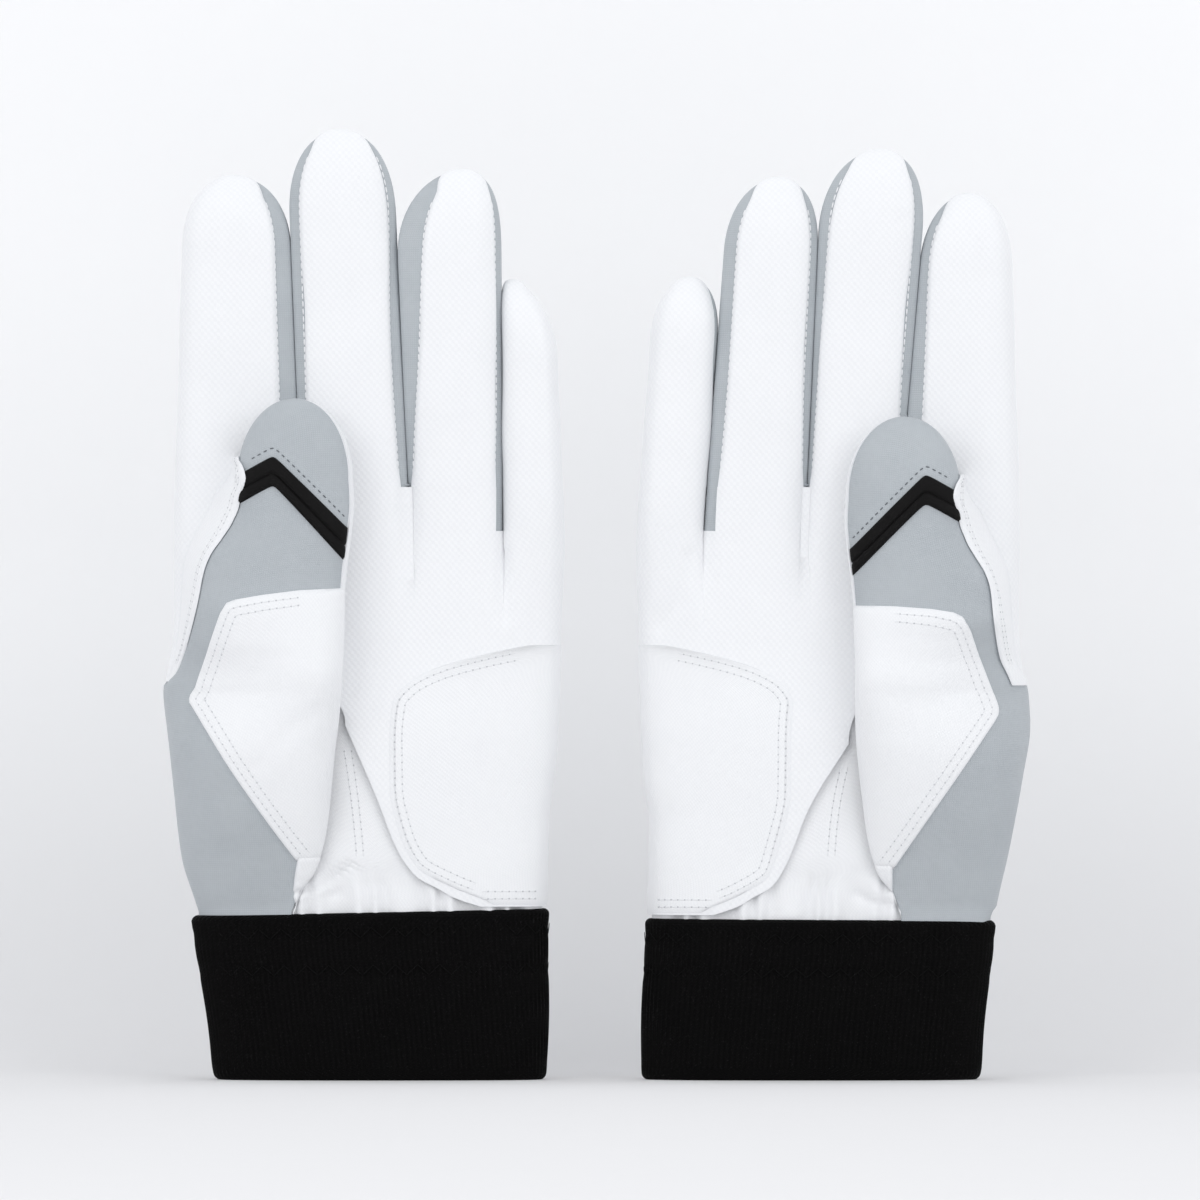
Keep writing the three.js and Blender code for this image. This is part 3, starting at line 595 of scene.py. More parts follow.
@dataclass
class Sheet:
    """A grid of points, rows from low to high, each left to right as seen from outside.

    Attributes:
        points: The grid, as rows, columns and coordinates.
        keep: Which cells of the grid are cloth, or None for all of them.
        ring: Whether the last column joins the first.
    """

    points: Array
    keep: Array | None = None
    ring: bool = False

    def normals(self) -> Array:
        """Works out which way the sheet faces.

        Returns:
            The outward direction at each point.
        """
        points = self.points
        if self.ring:
            across = np.roll(points, -1, axis=1) - np.roll(points, 1, axis=1)
        else:
            across = np.gradient(points, axis=1)
        normal = np.cross(across, np.gradient(points, axis=0))
        size = np.linalg.norm(normal, axis=-1, keepdims=True)
        return np.where(size > 1e-7, normal / np.maximum(size, 1e-12), UP)

    def spans(self) -> tuple[Array, Array, Array]:
        """Measures the sheet.

        Returns:
            Each point's distance along its row from the middle, up its column and from an edge.
        """
        along, up = run_of(self.points, 1), run_of(self.points, 0)
        sides = np.minimum(along, along[:, -1:] - along)
        ends = np.minimum(up, up[-1:] - up)
        edge = ends if self.ring else np.minimum(sides, ends)
        return along - along[:, -1:] / 2, up, edge

    def raised(self, height: Array | float) -> Sheet:
        """The sheet moved out along its normals."""
        height = np.broadcast_to(np.asarray(height, dtype=float), self.points.shape[:2])
        return Sheet(self.points + self.normals() * height[..., None], self.keep, self.ring)

    def bevel(self, radius: float) -> Array:
        """A share of a full thickness at each point, rounding off to 0 at the sheet's edge."""
        return rounding(self.spans()[2], radius)

    def cells(self) -> list[tuple[int, int, int, int]]:
        """Numbers the corners of the cells that are cloth.

        Returns:
            The corners of each cell, anticlockwise as seen from outside.
        """
        rows, columns = self.points.shape[:2]
        width = columns if self.ring else columns - 1
        cells = []
        for r in range(rows - 1):
            for c in range(width):
                if self.keep is None or self.keep[r, c]:
                    n = (c + 1) % columns
                    low, high = r * columns, (r + 1) * columns
                    cells.append((low + c, low + n, high + n, high + c))
        return cells


def shell_faces(cells: list[tuple[int, ...]], count: int) -> list[tuple[int, ...]]:
    """Closes a sheet and its copy into a shell.

    Args:
        cells: The sheet's cells.
        count: How many points it has.

    Returns:
        The cells, their reversed copies and walls round every edge.
    """
    edges = {(cell[i], cell[(i + 1) % 4]) for cell in cells for i in range(4)}
    walls = [(b, a, a + count, b + count) for a, b in edges if (b, a) not in edges]
    return cells + [tuple(i + count for i in reversed(cell)) for cell in cells] + sorted(walls)


def new_object(name: str, data: bpy.types.ID) -> bpy.types.Object:
    """Puts a new object with some data into the scene.

    Args:
        name: The object's name.
        data: Its mesh, camera or light.

    Returns:
        The object.
    """
    made = bpy.data.objects.new(name, data)
    bpy.context.scene.collection.objects.link(made)
    return made


def new_mesh(name: str, points: Array, faces: list, weave: Array, flip: bool) -> bpy.types.Object:
    """Makes a mesh object.

    Args:
        name: The object's name.
        points: Its points in metres.
        faces: Its faces, as tuples of point numbers.
        weave: Cloth coordinates in millimetres for each point.
        flip: Whether the faces are turned over, for a mirrored piece.

    Returns:
        The object, with loose points removed and collapsed points merged.
    """
    mesh = bpy.data.meshes.new(name)
    mesh.from_pydata(points.tolist(), [], [face[::-1] for face in faces] if flip else faces)
    mesh.attributes.new(WEAVE, "FLOAT_VECTOR", "POINT").data.foreach_set("vector", weave.ravel())
    work = bmesh.new()
    work.from_mesh(mesh)
    bmesh.ops.delete(work, geom=[v for v in work.verts if not v.link_faces], context="VERTS")
    bmesh.ops.remove_doubles(work, verts=work.verts, dist=MERGE_DISTANCE)
    bmesh.ops.dissolve_degenerate(work, edges=work.edges, dist=FLAT_DISTANCE)
    work.to_mesh(mesh)
    work.free()
    mesh.shade_smooth()
    mesh.set_sharp_from_angle(angle=SHARP_ANGLE)
    return new_object(name, mesh)


# Forms of one glove


@dataclass(frozen=True)
class Crease:
    """A fold pressed into one piece, along a line seen from the front."""

    piece: str
    line: Stations
    depth: float
    width: float

    def height(self, points: Array) -> Array:
        """Works out the fold's relief.

        Args:
            points: Points of the piece.

        Returns:
            How far each point is moved out; a hollow is below 0.
        """
        place = points[..., (0, 2)]
        corners = np.array(self.line, dtype=float)
        nearest = np.full(place.shape[:-1], np.inf)
        for start, end in zip(corners[:-1], corners[1:]):
            run = end - start
            share = np.clip(((place - start) @ run) / (run @ run), 0, 1)
            off = np.linalg.norm(place - start - share[..., None] * run, axis=-1)
            nearest = np.minimum(nearest, off)
        return -self.depth * np.exp(-((nearest / self.width) ** 2))


@dataclass(frozen=True)
class HandPose:
    """How one glove stands, with a value for each finger from the index to the little finger.

    Attributes:
        name: The glove's name.
        mirror: 1 for the glove as it is worked out, -1 for its mirror image.
        root_widths: Widths at the roots, seen from the palm.
        tip_widths: Widths near the tips.
        lengths: Lengths above the finger root.
        knuckles: Heights of the knuckles above the finger root.
        tip_leans: How far the tips lean to the little-finger side.
        domes: Heights of the rounded tips.
        seams: Angles from the front of the leather's edges at the root, half way and near the
            tip, on the thumb's side and then on the other side.
        thumb_rise: How much higher the thumb is set than the left one.
        thumb_shift: How far it is set to the little-finger side.
        thumb_rim: Where the thumb's cloth meets its leather: 0 at the web, 1 at the free edge.
        palm_shift: How far the palm's cut edge bows to the little-finger side.
        pad_shift: How far the heel pad's edge is moved to the little-finger side.
        hem: Height of the palm's hem.
        cuff_tops: How far the cuff's top edge is out of level on the thumb's and the other side.
        cuff_sides: How far the cuff stands out on those sides at its foot and at its top.
        chevron: The drop of the chevron's peak, its slope to the free edge and how it widens there.
        flap_foot: Width of the web flap's cut lower end.
        thumb_side: The outline from the wrist to the thumb's split, as shares and places.
        index_side: The outline from there to the finger root.
        little_side: The outline of the other side, from the wrist to the finger root.
        patch: The wear patch's open edge from its top, as places and drops from the thumb's tip.
        patch_foot: The patch's lowest corner, as a place and a height.
        patch_bow: How far the patch's lower edge bows out.
        strip_shifts: How far the lines where side strips meet lie from the middles of the gaps.
        lip: The edge of the white lip at the thumb's foot, as heights and places.
        creases: Folds in the leather.
    """

    name: str
    mirror: int
    root_widths: Widths
    tip_widths: Widths
    lengths: Widths
    knuckles: Widths
    tip_leans: Widths
    domes: Widths
    seams: tuple[tuple[Angles, Angles], ...]
    thumb_rise: float
    thumb_shift: float
    thumb_rim: float
    palm_shift: float
    pad_shift: float
    hem: float
    cuff_tops: tuple[float, float]
    cuff_sides: Stations
    chevron: Angles
    flap_foot: float
    thumb_side: Stations
    index_side: Stations
    little_side: Stations
    patch: Stations
    patch_foot: tuple[float, float]
    patch_bow: float
    strip_shifts: tuple[float, float, float]
    lip: Stations
    creases: tuple[Crease, ...]


class Hand(Enum):
    """The two gloves."""

    LEFT = HandPose(
        name="left",
        mirror=1,
        root_widths=(30.4, 26.6, 22.9, 14.6),
        tip_widths=(26.3, 26.4, 25.1, 12.4),
        lengths=(77.5, 89.0, 79.0, 51.5),
        knuckles=(35.5, 39.0, 34.0, 14.5),
        tip_leans=(0.0, 0.5, 3.5, -4.0),
        domes=(18.0, 21.0, 22.0, 20.0),
        seams=(
            ((50, 50, 50), (50, 50, 50)),
            ((58, 53, 52), (61, 55, 63)),
            ((67, 45, 32), (59, 65, 64)),
            ((84, 84, 84), (50, 50, 50)),
        ),
        thumb_rise=0.0,
        thumb_shift=0.0,
        thumb_rim=0.976,
        palm_shift=0.0,
        pad_shift=0.0,
        hem=43.3,
        cuff_tops=(-0.5, 1.3),
        cuff_sides=((0.0, 0.9), (-0.9, 0.0)),
        chevron=(14.7, 0.98, 0.013),
        flap_foot=0.0,
        thumb_side=((0.24, -47.5), (0.55, -49.7), (0.83, -51.3), (1, -52.1)),
        index_side=((0.1, -51.2), (0.25, -49.9), (0.45, -49.3)),
        little_side=((0.21, 43.9), (0.29, 44.7), (0.36, 45.7), (0.5, 46.5), (0.63, 47)),
        patch=(
            ((-7.6, 47.6), (-18.0, 48.1), (-27.0, 49.3), (-33.8, 50.5), (-35.6, 51.2))
            + ((-36.7, 53.0), (-39.6, 61.0), (-43.4, 72.4), (-44.6, 74.4), (-44.7, 75.6))
            + ((-43.9, 77.0),)
        ),
        patch_foot=(-18.5, 55.1),
        patch_bow=0.9,
        strip_shifts=(0.6, 0.0, 0.0),
        lip=((37.5, -18.6), (42.6, -18.7), (46.5, -19.6), (49, -19.4), (54.75, -18.5), (58, -17.3)),
        creases=(
            Crease("palm", ((33.5, 131.0), (33.5, 115.5)), 0.55, 1.5),
            Crease("patch", ((-25.8, 104.8), (-30.5, 98.0), (-36.5, 91.0)), 0.35, 2.4),
            Crease("patch", ((-13.7, 92.6), (-21.0, 87.0), (-28.0, 79.0)), 0.35, 2.4),
            Crease("foot", ((-20.5, 46.4), (-13.2, 48.3), (-8.2, 51.6), (-5.0, 54.0)), 0.8, 0.9),
            Crease("foot", ((-20.5, 44.2), (-12.5, 45.6), (-8.0, 46.8)), 0.4, 0.8),
        ),
    )
    RIGHT = HandPose(
        name="right",
        mirror=-1,
        root_widths=(29.0, 22.8, 24.2, 16.4),
        tip_widths=(22.5, 24.9, 22.7, 16.2),
        lengths=(73.0, 84.0, 77.0, 52.0),
        knuckles=(31.0, 34.0, 32.0, 15.0),
        tip_leans=(0.0, -1.0, -0.8, -0.4),
        domes=(18.0, 21.0, 18.0, 15.0),
        seams=(
            ((50, 50, 50), (47, 50, 56)),
            ((66, 57, 57), (70, 63, 56)),
            ((67, 59, 60), (52, 48, 49)),
            ((82, 80, 66), (50, 50, 50)),
        ),
        thumb_rise=-4.5,
        thumb_shift=-1.2,
        thumb_rim=0.99,
        palm_shift=2.6,
        pad_shift=3.4,
        hem=41.2,
        cuff_tops=(-1.7, -1.2),
        cuff_sides=((0.1, -0.9), (0.7, -0.1)),
        chevron=(14.8, 1.0, 0.0),
        flap_foot=3.2,
        thumb_side=((0.34, -47.5), (0.61, -50.4), (0.83, -52.1), (1, -51.5)),
        index_side=((0.1, -50.1), (0.25, -49.4), (0.45, -49.0)),
        little_side=((0.21, 42.8), (0.3, 44.1), (0.5, 45.1), (0.69, 45.6)),
        patch=(
            ((-8.3, 47.4), (-18.0, 47.6), (-27.0, 48.3), (-32.4, 49.2), (-34.6, 50.2))
            + ((-35.9, 52.2), (-38.4, 59.6), (-42.2, 69.6), (-43.2, 72.4), (-43.3, 74.0))
            + ((-42.4, 75.8),)
        ),
        patch_foot=(-17.5, 53.1),
        patch_bow=0.0,
        strip_shifts=(0.0, 0.0, 0.0),
        lip=((37.5, -13.6), (42.1, -13.9), (44, -15.9), (47.2, -17.5), (52.7, -17.5), (56, -16.6)),
        creases=(
            Crease("palm", ((33.4, 131.0), (33.8, 126.0), (35.4, 119.5), (40.0, 113.2)), 0.6, 1.4),
            Crease("middle", ((-24.0, 215.6), (-20.5, 214.6), (-17.0, 215.2)), 0.3, 0.8),
            Crease("patch", ((-15.0, 97.0), (-27.0, 93.5), (-36.0, 99.0)), 0.3, 3.0),
            Crease("foot", ((-19.0, 43.6), (-12.5, 44.6), (-8.5, 46.4)), 0.6, 0.9),
        ),
    )


FINGER_NAMES = ("index", "middle", "ring", "little")
FINGER_HALF_DEPTHS = (9.0, 9.3, 9.0, 8.6)
FINGER_SET_BACK = (0.3, 0.0, 0.0, -0.8)
FINGER_GAP = 0.8
FINGER_ROOT = 148.0
LITTLE_CROTCH = 137.0
CROTCHES = (FINGER_ROOT, FINGER_ROOT, LITTLE_CROTCH)
TAPER_RUN = 57.0
FINGER_POWER = 3.0
DOME_POWER = 2.2
WRAP_ANGLE = 130.0
RIDGE_ANGLE = 89.5
TIP_SEAM_RUN = 20.0
CLOSING_RUN = 6.0
RELIEF_RUN = 8.0
ROW_PITCH = 1.4
RADIAL_EDGE_ROOT = -49.3
RADIAL_EDGE_TIP = -47.5


@dataclass(frozen=True)
class Finger:
    """One finger stall, with its section at every height; root and end are a centre and a width."""

    name: str
    root: tuple[float, float]
    end: tuple[float, float]
    half_depth: float
    set_back: float
    tip: float
    dome: float
    lean: float
    knuckle: float
    seams: tuple[Angles, Angles]

    def along(self, z: Array) -> Array:
        """How far up the finger a height is, from 0 at its root."""
        return (z - FINGER_ROOT) / TAPER_RUN

    def rise(self, z: Array) -> Array:
        """How far up the rounded tip a height is, from 0 below it to 1."""
        return np.maximum(0, z - self.tip + self.dome) / self.dome

    def fullness(self, z: Array) -> Array:
        """The share of its section that a finger has at a height, closing over the tip."""
        return crown(self.rise(z), DOME_POWER)

    def centre(self, z: Array) -> Array:
        """The middle of the finger, seen from the front."""
        return mix(self.root[0], self.end[0], self.along(z)) + self.lean * self.rise(z) ** 2

    def half(self, z: Array) -> Array:
        """Half of the finger's width below its tip."""
        return mix(self.root[1], self.end[1], self.along(z)) / 2

    def point(self, angle: Array, z: Array, lift: Array | float = 0.0) -> Array:
        """Points on the finger.

        Args:
            angle: Degrees round it, 0 in front and 90 on the little-finger side.
            z: Their heights.
            lift: How far they stand off the finger.

        Returns:
            The points.
        """
        z = np.asarray(z, dtype=float)
        turn = np.radians(angle)
        full = self.fullness(z)
        half, deep = self.half(z) * full + lift, self.half_depth * full + lift
        front = np.sign(np.cos(turn)) * crown(np.sin(turn), FINGER_POWER)
        return lay(self.centre(z) + half * np.sin(turn), self.set_back - deep * front, z)

    def closing(self, z: Array) -> Array:
        """How far the seams have run together towards the tip's ridge."""
        return np.clip(1 - (self.tip - z) / CLOSING_RUN, 0, 1) ** 2

    def front_seam(self, z: Array, side: int) -> Array:
        """The angle of an edge of the front leather.

        Args:
            z: Heights.
            side: 1 for the edge towards the little finger, else -1.

        Returns:
            The angle at each height.
        """
        stations = zip((0.0, 0.5, 1.0), self.seams[side > 0])
        run = np.clip((z - FINGER_ROOT) / (self.tip - TIP_SEAM_RUN - FINGER_ROOT), 0, 1)
        return side * mix(Curve(tuple(stations))(run), RIDGE_ANGLE - 0.5, self.closing(z))

    def wrap_seam(self, z: Array) -> Array:
        """The angle where leather or strips from the side meet the back."""
        return mix(WRAP_ANGLE, RIDGE_ANGLE, self.closing(z))

    def levels(self, low: float) -> Array:
        """Heights of the rows of a panel.

        Args:
            low: The first row's height.

        Returns:
            The heights up to the tip, closer together over the dome.
        """
        start = self.tip - self.dome
        straight = np.linspace(low, start, round((start - low) / ROW_PITCH))
        return np.concatenate([straight, dome_rows(self.tip, self.dome, 19)])

    def panel(self, rows: Array, edges: tuple[Array, Array], count: int, ridge: float) -> Array:
        """Points of a panel that closes over the tip.

        Args:
            rows: The heights of its rows.
            edges: The angles of its two edges at those heights.
            count: How many points a row has.
            ridge: How far the last row lies behind the tip's ridge.

        Returns:
            The rows of points.
        """
        low, high = (edge[:, None] for edge in edges)
        points = self.point(mix(low, high, np.linspace(0, 1, count)[None, :]), rows[:, None])
        points[-1, :, 1] += ridge
        return points

    def fades(self, rows: Array, run: float) -> tuple[Array, Array]:
        """The shares of a panel's relief above the root, and over a run below the tip."""
        start = ease(rows, FINGER_ROOT, FINGER_ROOT + RELIEF_RUN)
        return start[:, None], 1 - ease(rows, self.tip - run, self.tip)[:, None]


def fingers_of(pose: HandPose) -> list[Finger]:
    """Stacks the four stalls side by side.

    Args:
        pose: How the glove stands.

    Returns:
        The fingers, from the thumb side of the hand.
    """
    fingers = []
    root_edge, tip_edge = RADIAL_EDGE_ROOT, RADIAL_EDGE_TIP
    for i, name in enumerate(FINGER_NAMES):
        root_width, tip_width = pose.root_widths[i], pose.tip_widths[i]
        root = (root_edge + root_width / 2, root_width)
        end = (tip_edge + tip_width / 2, tip_width)
        depths = (FINGER_HALF_DEPTHS[i], FINGER_SET_BACK[i])
        top = (FINGER_ROOT + pose.lengths[i], pose.domes[i], pose.tip_leans[i])
        knuckle = FINGER_ROOT + pose.knuckles[i]
        fingers.append(Finger(name, root, end, *depths, *top, knuckle, pose.seams[i]))
        root_edge += root_width + FINGER_GAP
        tip_edge += tip_width + FINGER_GAP
    return fingers


CUFF_HEIGHT = 41.5
CUFF_HALF_WIDTH = 44.3
CUFF_HALF_DEPTH = 14.0
CUFF_TAPER = 4.8
CUFF_WALL = 4.2
SECTION_POWER = 2.6
LEATHER_INSET = 0.9
WRIST = CUFF_HEIGHT + 0.3
TUCK = CUFF_HEIGHT - 4.0
FINGER_BLEND = 110.0
THUMB_HOLE_TOP = 99.5
THUMB_SPLIT = 97.0
THUMB_CROTCH_DEPTH = 11.0
THUMB_LENGTH = 81.5
THUMB_DOME = 20.0
THUMB_DOME_POWER = 2.0
THUMB_TIP_X = -19.2
THUMB_WEB_X = -33.4
THUMB_FREE_X = -4.8
THUMB_REAR_SWELL = 6.2
THUMB_SETTING_Y = -19.3
THUMB_SECTION_POWER = 2.4
THUMB_CLEARANCE = 1.6
FOLD_WEB = (-33.5, 28.5)
FOLD_EDGE = (-6.5, 46.0)
FREE_EDGE = ((0, -19.5), (0.16, -16.6), (0.22, -14.5), (0.39, -11.8), (0.62, -10.5), (1, -9.0))
PALM_EDGE = (
    ((0, 27.0), (0.05, 20.5), (0.1, 16.5), (0.165, 11.2))
    + ((0.3, 6.7), (0.62, 0.9), (1, -6.6))
)
THUMB_FREE_EDGE = ((66, -7.7), (47, -6.7), (40, -6.0), (33, -5.1), (26, -4.5), (20, THUMB_FREE_X))
THUMB_WEB_EDGE = (
    ((60, -45.8), (51, -43.6), (43, -42.0), (39, -40.4), (35, -37.6), (31, -35.0), (26, -33.2))
    + ((THUMB_DOME, THUMB_WEB_X),)
)
SPLIT_WEB = (0.4, -48.6)
FRONT_DEPTHS = ((0.3, 13.0), (0.6, 13.0), (1, 10.6))
BACK_DEPTHS = ((0.63, 15.0), (1, 13.5))
ROOT_DEPTH = 9.0
WEB_DEPTHS = ((THUMB_SPLIT, -0.5), (104, -7), (110, -13))
BASE_SWELLS = ((0.24, 4.5), (0.51, 10.0), (0.78, 13.5), (1, 14.0))
CUFF_TUCK = 1.3
CUFF_TUCK_RUN = (CUFF_HEIGHT - 1.0, CUFF_HEIGHT + 2.0)
CALM_BELOW = (44.0, 60.0)
CALM_ABOVE = (125.0, FINGER_ROOT)


class GloveForm:
    """The surfaces of one glove's hand and thumb, in millimetres."""

    def __init__(self, pose: HandPose) -> None:
        """Works out the outlines and depths.

        Args:
            pose: How the glove stands.
        """
        self.pose = pose
        self.fingers = fingers_of(pose)
        self.crotch = THUMB_HOLE_TOP - THUMB_CROTCH_DEPTH + pose.thumb_rise
        self.tip = self.crotch + THUMB_LENGTH
        self.tip_x = THUMB_TIP_X + pose.thumb_shift
        little = self.fingers[3]
        wrist = CUFF_HALF_WIDTH - LEATHER_INSET
        depth = CUFF_HALF_DEPTH - LEATHER_INSET
        tip = self.tip
        to_split = self.between(WRIST, THUMB_SPLIT, pose.thumb_side)
        to_root = self.between(THUMB_SPLIT, FINGER_ROOT, pose.index_side)
        palm = [(s, x + 4 * s * (1 - s) * pose.palm_shift) for s, x in PALM_EDGE]
        neck = mix(THUMB_SPLIT, tip - THUMB_WEB_EDGE[0][0], SPLIT_WEB[0])
        self.radial_edge = Curve(
            ((WRIST, -wrist), *to_split, *to_root, (FINGER_ROOT, RADIAL_EDGE_ROOT))
        )
        to_little = self.between(WRIST, FINGER_ROOT, pose.little_side)
        little_edge = little.root[0] + little.root[1] / 2
        self.ulnar_edge = Curve(((WRIST, wrist), *to_little, (FINGER_ROOT, little_edge)))
        runs = (
            self.between(WRIST, FINGER_BLEND, ((0, depth), *depths))
            for depths in (FRONT_DEPTHS, BACK_DEPTHS)
        )
        self.front_depth, self.back_depth = (
            Curve((*run, (FINGER_ROOT, ROOT_DEPTH))) for run in runs
        )
        self.palm_edge = Curve(self.between(pose.hem, self.crotch, palm))
        self.thumb_right = Curve(
            (*self.between(WRIST, self.crotch, FREE_EDGE), *self.dropped(THUMB_FREE_EDGE))
        )
        foot = ((WRIST, -wrist), *((z, x + 0.2) for z, x in to_split))
        at_neck = (neck, SPLIT_WEB[1] + pose.thumb_shift)
        self.thumb_left = Curve((*foot, at_neck, *self.dropped(THUMB_WEB_EDGE)))
        self.thumb_left_y = Curve((*WEB_DEPTHS, (tip - 50, -18), (tip - 40, THUMB_SETTING_Y)))
        base = self.between(WRIST, THUMB_SPLIT, BASE_SWELLS)
        upper = ((tip - 60, 11.5), (tip - FOLD_EDGE[1], 8.6))
        self.swell = Curve(((WRIST + 1.5, 0.0), *base, *upper))

    @staticmethod
    def between(low: float, high: float, stations: Outline) -> Stations:
        """Stations given as shares of the way between two heights."""
        return tuple((mix(low, high, share), value) for share, value in stations)

    def dropped(self, stations: Stations) -> Stations:
        """Stations of the thumb given as drops from its tip."""
        return tuple((self.tip - drop, x + self.pose.thumb_shift) for drop, x in stations)

    def creased(self, piece: str, points: Array) -> Array:
        """How far the folds of a piece move its points out."""
        folds = [crease.height(points) for crease in self.pose.creases if crease.piece == piece]
        return sum(folds, np.zeros(points.shape[:-1]))

    def across(self, x: Array, z: Array) -> Array:
        """Where a place lies across the hand, from -1 on the thumb side to 1."""
        left, right = self.radial_edge(z), self.ulnar_edge(z)
        return np.clip((2 * x - left - right) / (right - left), -1, 1)

    def hand(self, across: Array, side: Array | int, z: Array, lift: float = 0.0) -> Array:
        """Points on the hand.

        Args:
            across: Their places from -1 on the thumb side to 1.
            side: -1 in front, 1 behind.
            z: Their heights.
            lift: How far they stand off the hand.

        Returns:
            The points.
        """
        left, right = self.radial_edge(z), self.ulnar_edge(z)
        depth = np.where(np.asarray(side) < 0, self.front_depth(z), self.back_depth(z)) + lift
        x = (left + right) / 2 + ((right - left) / 2 + lift) * across
        return lay(x, side * depth * crown(across, SECTION_POWER), z)

    def roots(self, which: Array, angles: Array) -> Array:
        """Where columns at angles round their fingers end, from -1 on the thumb side to 1."""
        x = np.array([self.fingers[i].point(a, FINGER_ROOT)[0] for i, a in zip(which, angles)])
        return self.across(x, np.full(len(x), FINGER_ROOT))

    def to_fingers(self, points: Array, which: Array, angles: Array) -> Array:
        """Draws the upper rows of the hand's pieces onto the fingers.

        Args:
            points: Rows of points on the hand.
            which: The finger that each column runs up to.
            angles: The columns' angles round those fingers.

        Returns:
            The rows of points.
        """
        z = points[..., 2]
        on_finger = np.zeros_like(points)
        for i, finger in enumerate(self.fingers):
            mine = which == i
            on_finger[:, mine] = finger.point(angles[None, mine], z[:, mine])
        return mix(points, on_finger, ease(z, FINGER_BLEND, FINGER_ROOT)[..., None])

    @staticmethod
    def calm(z: Array) -> Array:
        """The share of its swells that the hand has at a height; the wrist and roots have none."""
        return hump(z, CALM_BELOW, CALM_ABOVE)

    def cuff_tuck(self, z: Array) -> Array:
        """How far cloth draws in where the cuff is narrower on the thumb side."""
        return CUFF_TUCK * max(0.0, -self.pose.cuff_sides[0][1]) * (1 - ease(z, *CUFF_TUCK_RUN))

    def palm(self, x: Array, z: Array, lift: float = 0.0) -> Array:
        """Points on the front of the hand below the fingers."""
        return self.hand(self.across(x, z), -1, z, lift)

    def thumb_sides(self, z: Array) -> tuple[Array, Array, Array]:
        """The thumb's outline.

        Args:
            z: Heights.

        Returns:
            Its web edge, its free edge and the share of its section that is left there.
        """
        dome = crown(np.maximum(0, z - self.tip + THUMB_DOME) / THUMB_DOME, THUMB_DOME_POWER)
        edges = (self.thumb_left, self.thumb_right)
        left, right = (mix(self.tip_x, edge(z), dome) for edge in edges)
        return left, right, dome

    def thumb(self, along: Array, side: int, z: Array) -> Array:
        """Points on the folded thumb.

        Args:
            along: From 0 at its web to 1 at its free edge.
            side: -1 in front, 1 on the side that faces the palm.
            z: Their heights.

        Returns:
            The points.
        """
        left, right, dome = self.thumb_sides(z)
        x = mix(left, right, along)
        on_hand = self.palm(x, z)[..., 1]
        free = mix(self.thumb_left_y(z), THUMB_SETTING_Y, along)
        base = mix(on_hand, free, ease(z, self.crotch - 8, THUMB_HOLE_TOP + 4))
        full = dome * crown(2 * along - 1, THUMB_SECTION_POWER)
        rear = np.minimum(base + THUMB_REAR_SWELL * full, on_hand - THUMB_CLEARANCE)
        return lay(x, base - self.swell(z) * full if side < 0 else rear, z)

    def thumb_front(self, x: Array, z: Array) -> Array:
        """Points on the front of the thumb at places seen from the front."""
        left, right, _ = self.thumb_sides(z)
        return self.thumb(np.clip((x - left) / (right - left), 0.004, 0.996), -1, z)

    def index_front(self, x: Array, z: Array) -> Array:
        """Points on the front of the index finger and of the palm below it.

        Args:
            x: Their places from side to side.
            z: Their heights.

        Returns:
            The points.
        """
        index = self.fingers[0]
        stand = crown((x - index.centre(z)) / index.half(z), FINGER_POWER)
        on_finger = index.set_back - index.half_depth * stand
        share = ease(z, FINGER_BLEND, FINGER_ROOT)
        return lay(x, mix(self.palm(x, z)[..., 1], on_finger, share), z)

    def fold(self) -> tuple[Array, Array]:
        """The line where the thumb folds.

        Returns:
            A point on it, and the way across it towards the tip.
        """
        web = np.array([FOLD_WEB[0], 0.0, self.tip - FOLD_WEB[1]])
        edge = np.array([FOLD_EDGE[0], 0.0, self.tip - FOLD_EDGE[1]])
        run = (edge - web) / np.linalg.norm(edge - web)
        return (web + edge) / 2, np.array([-run[2], 0.0, run[0]])


# Building pieces


KNUCKLE_RUN = (-12.0, 16.0)
FOLD_RUN = (-9.0, 11.0)


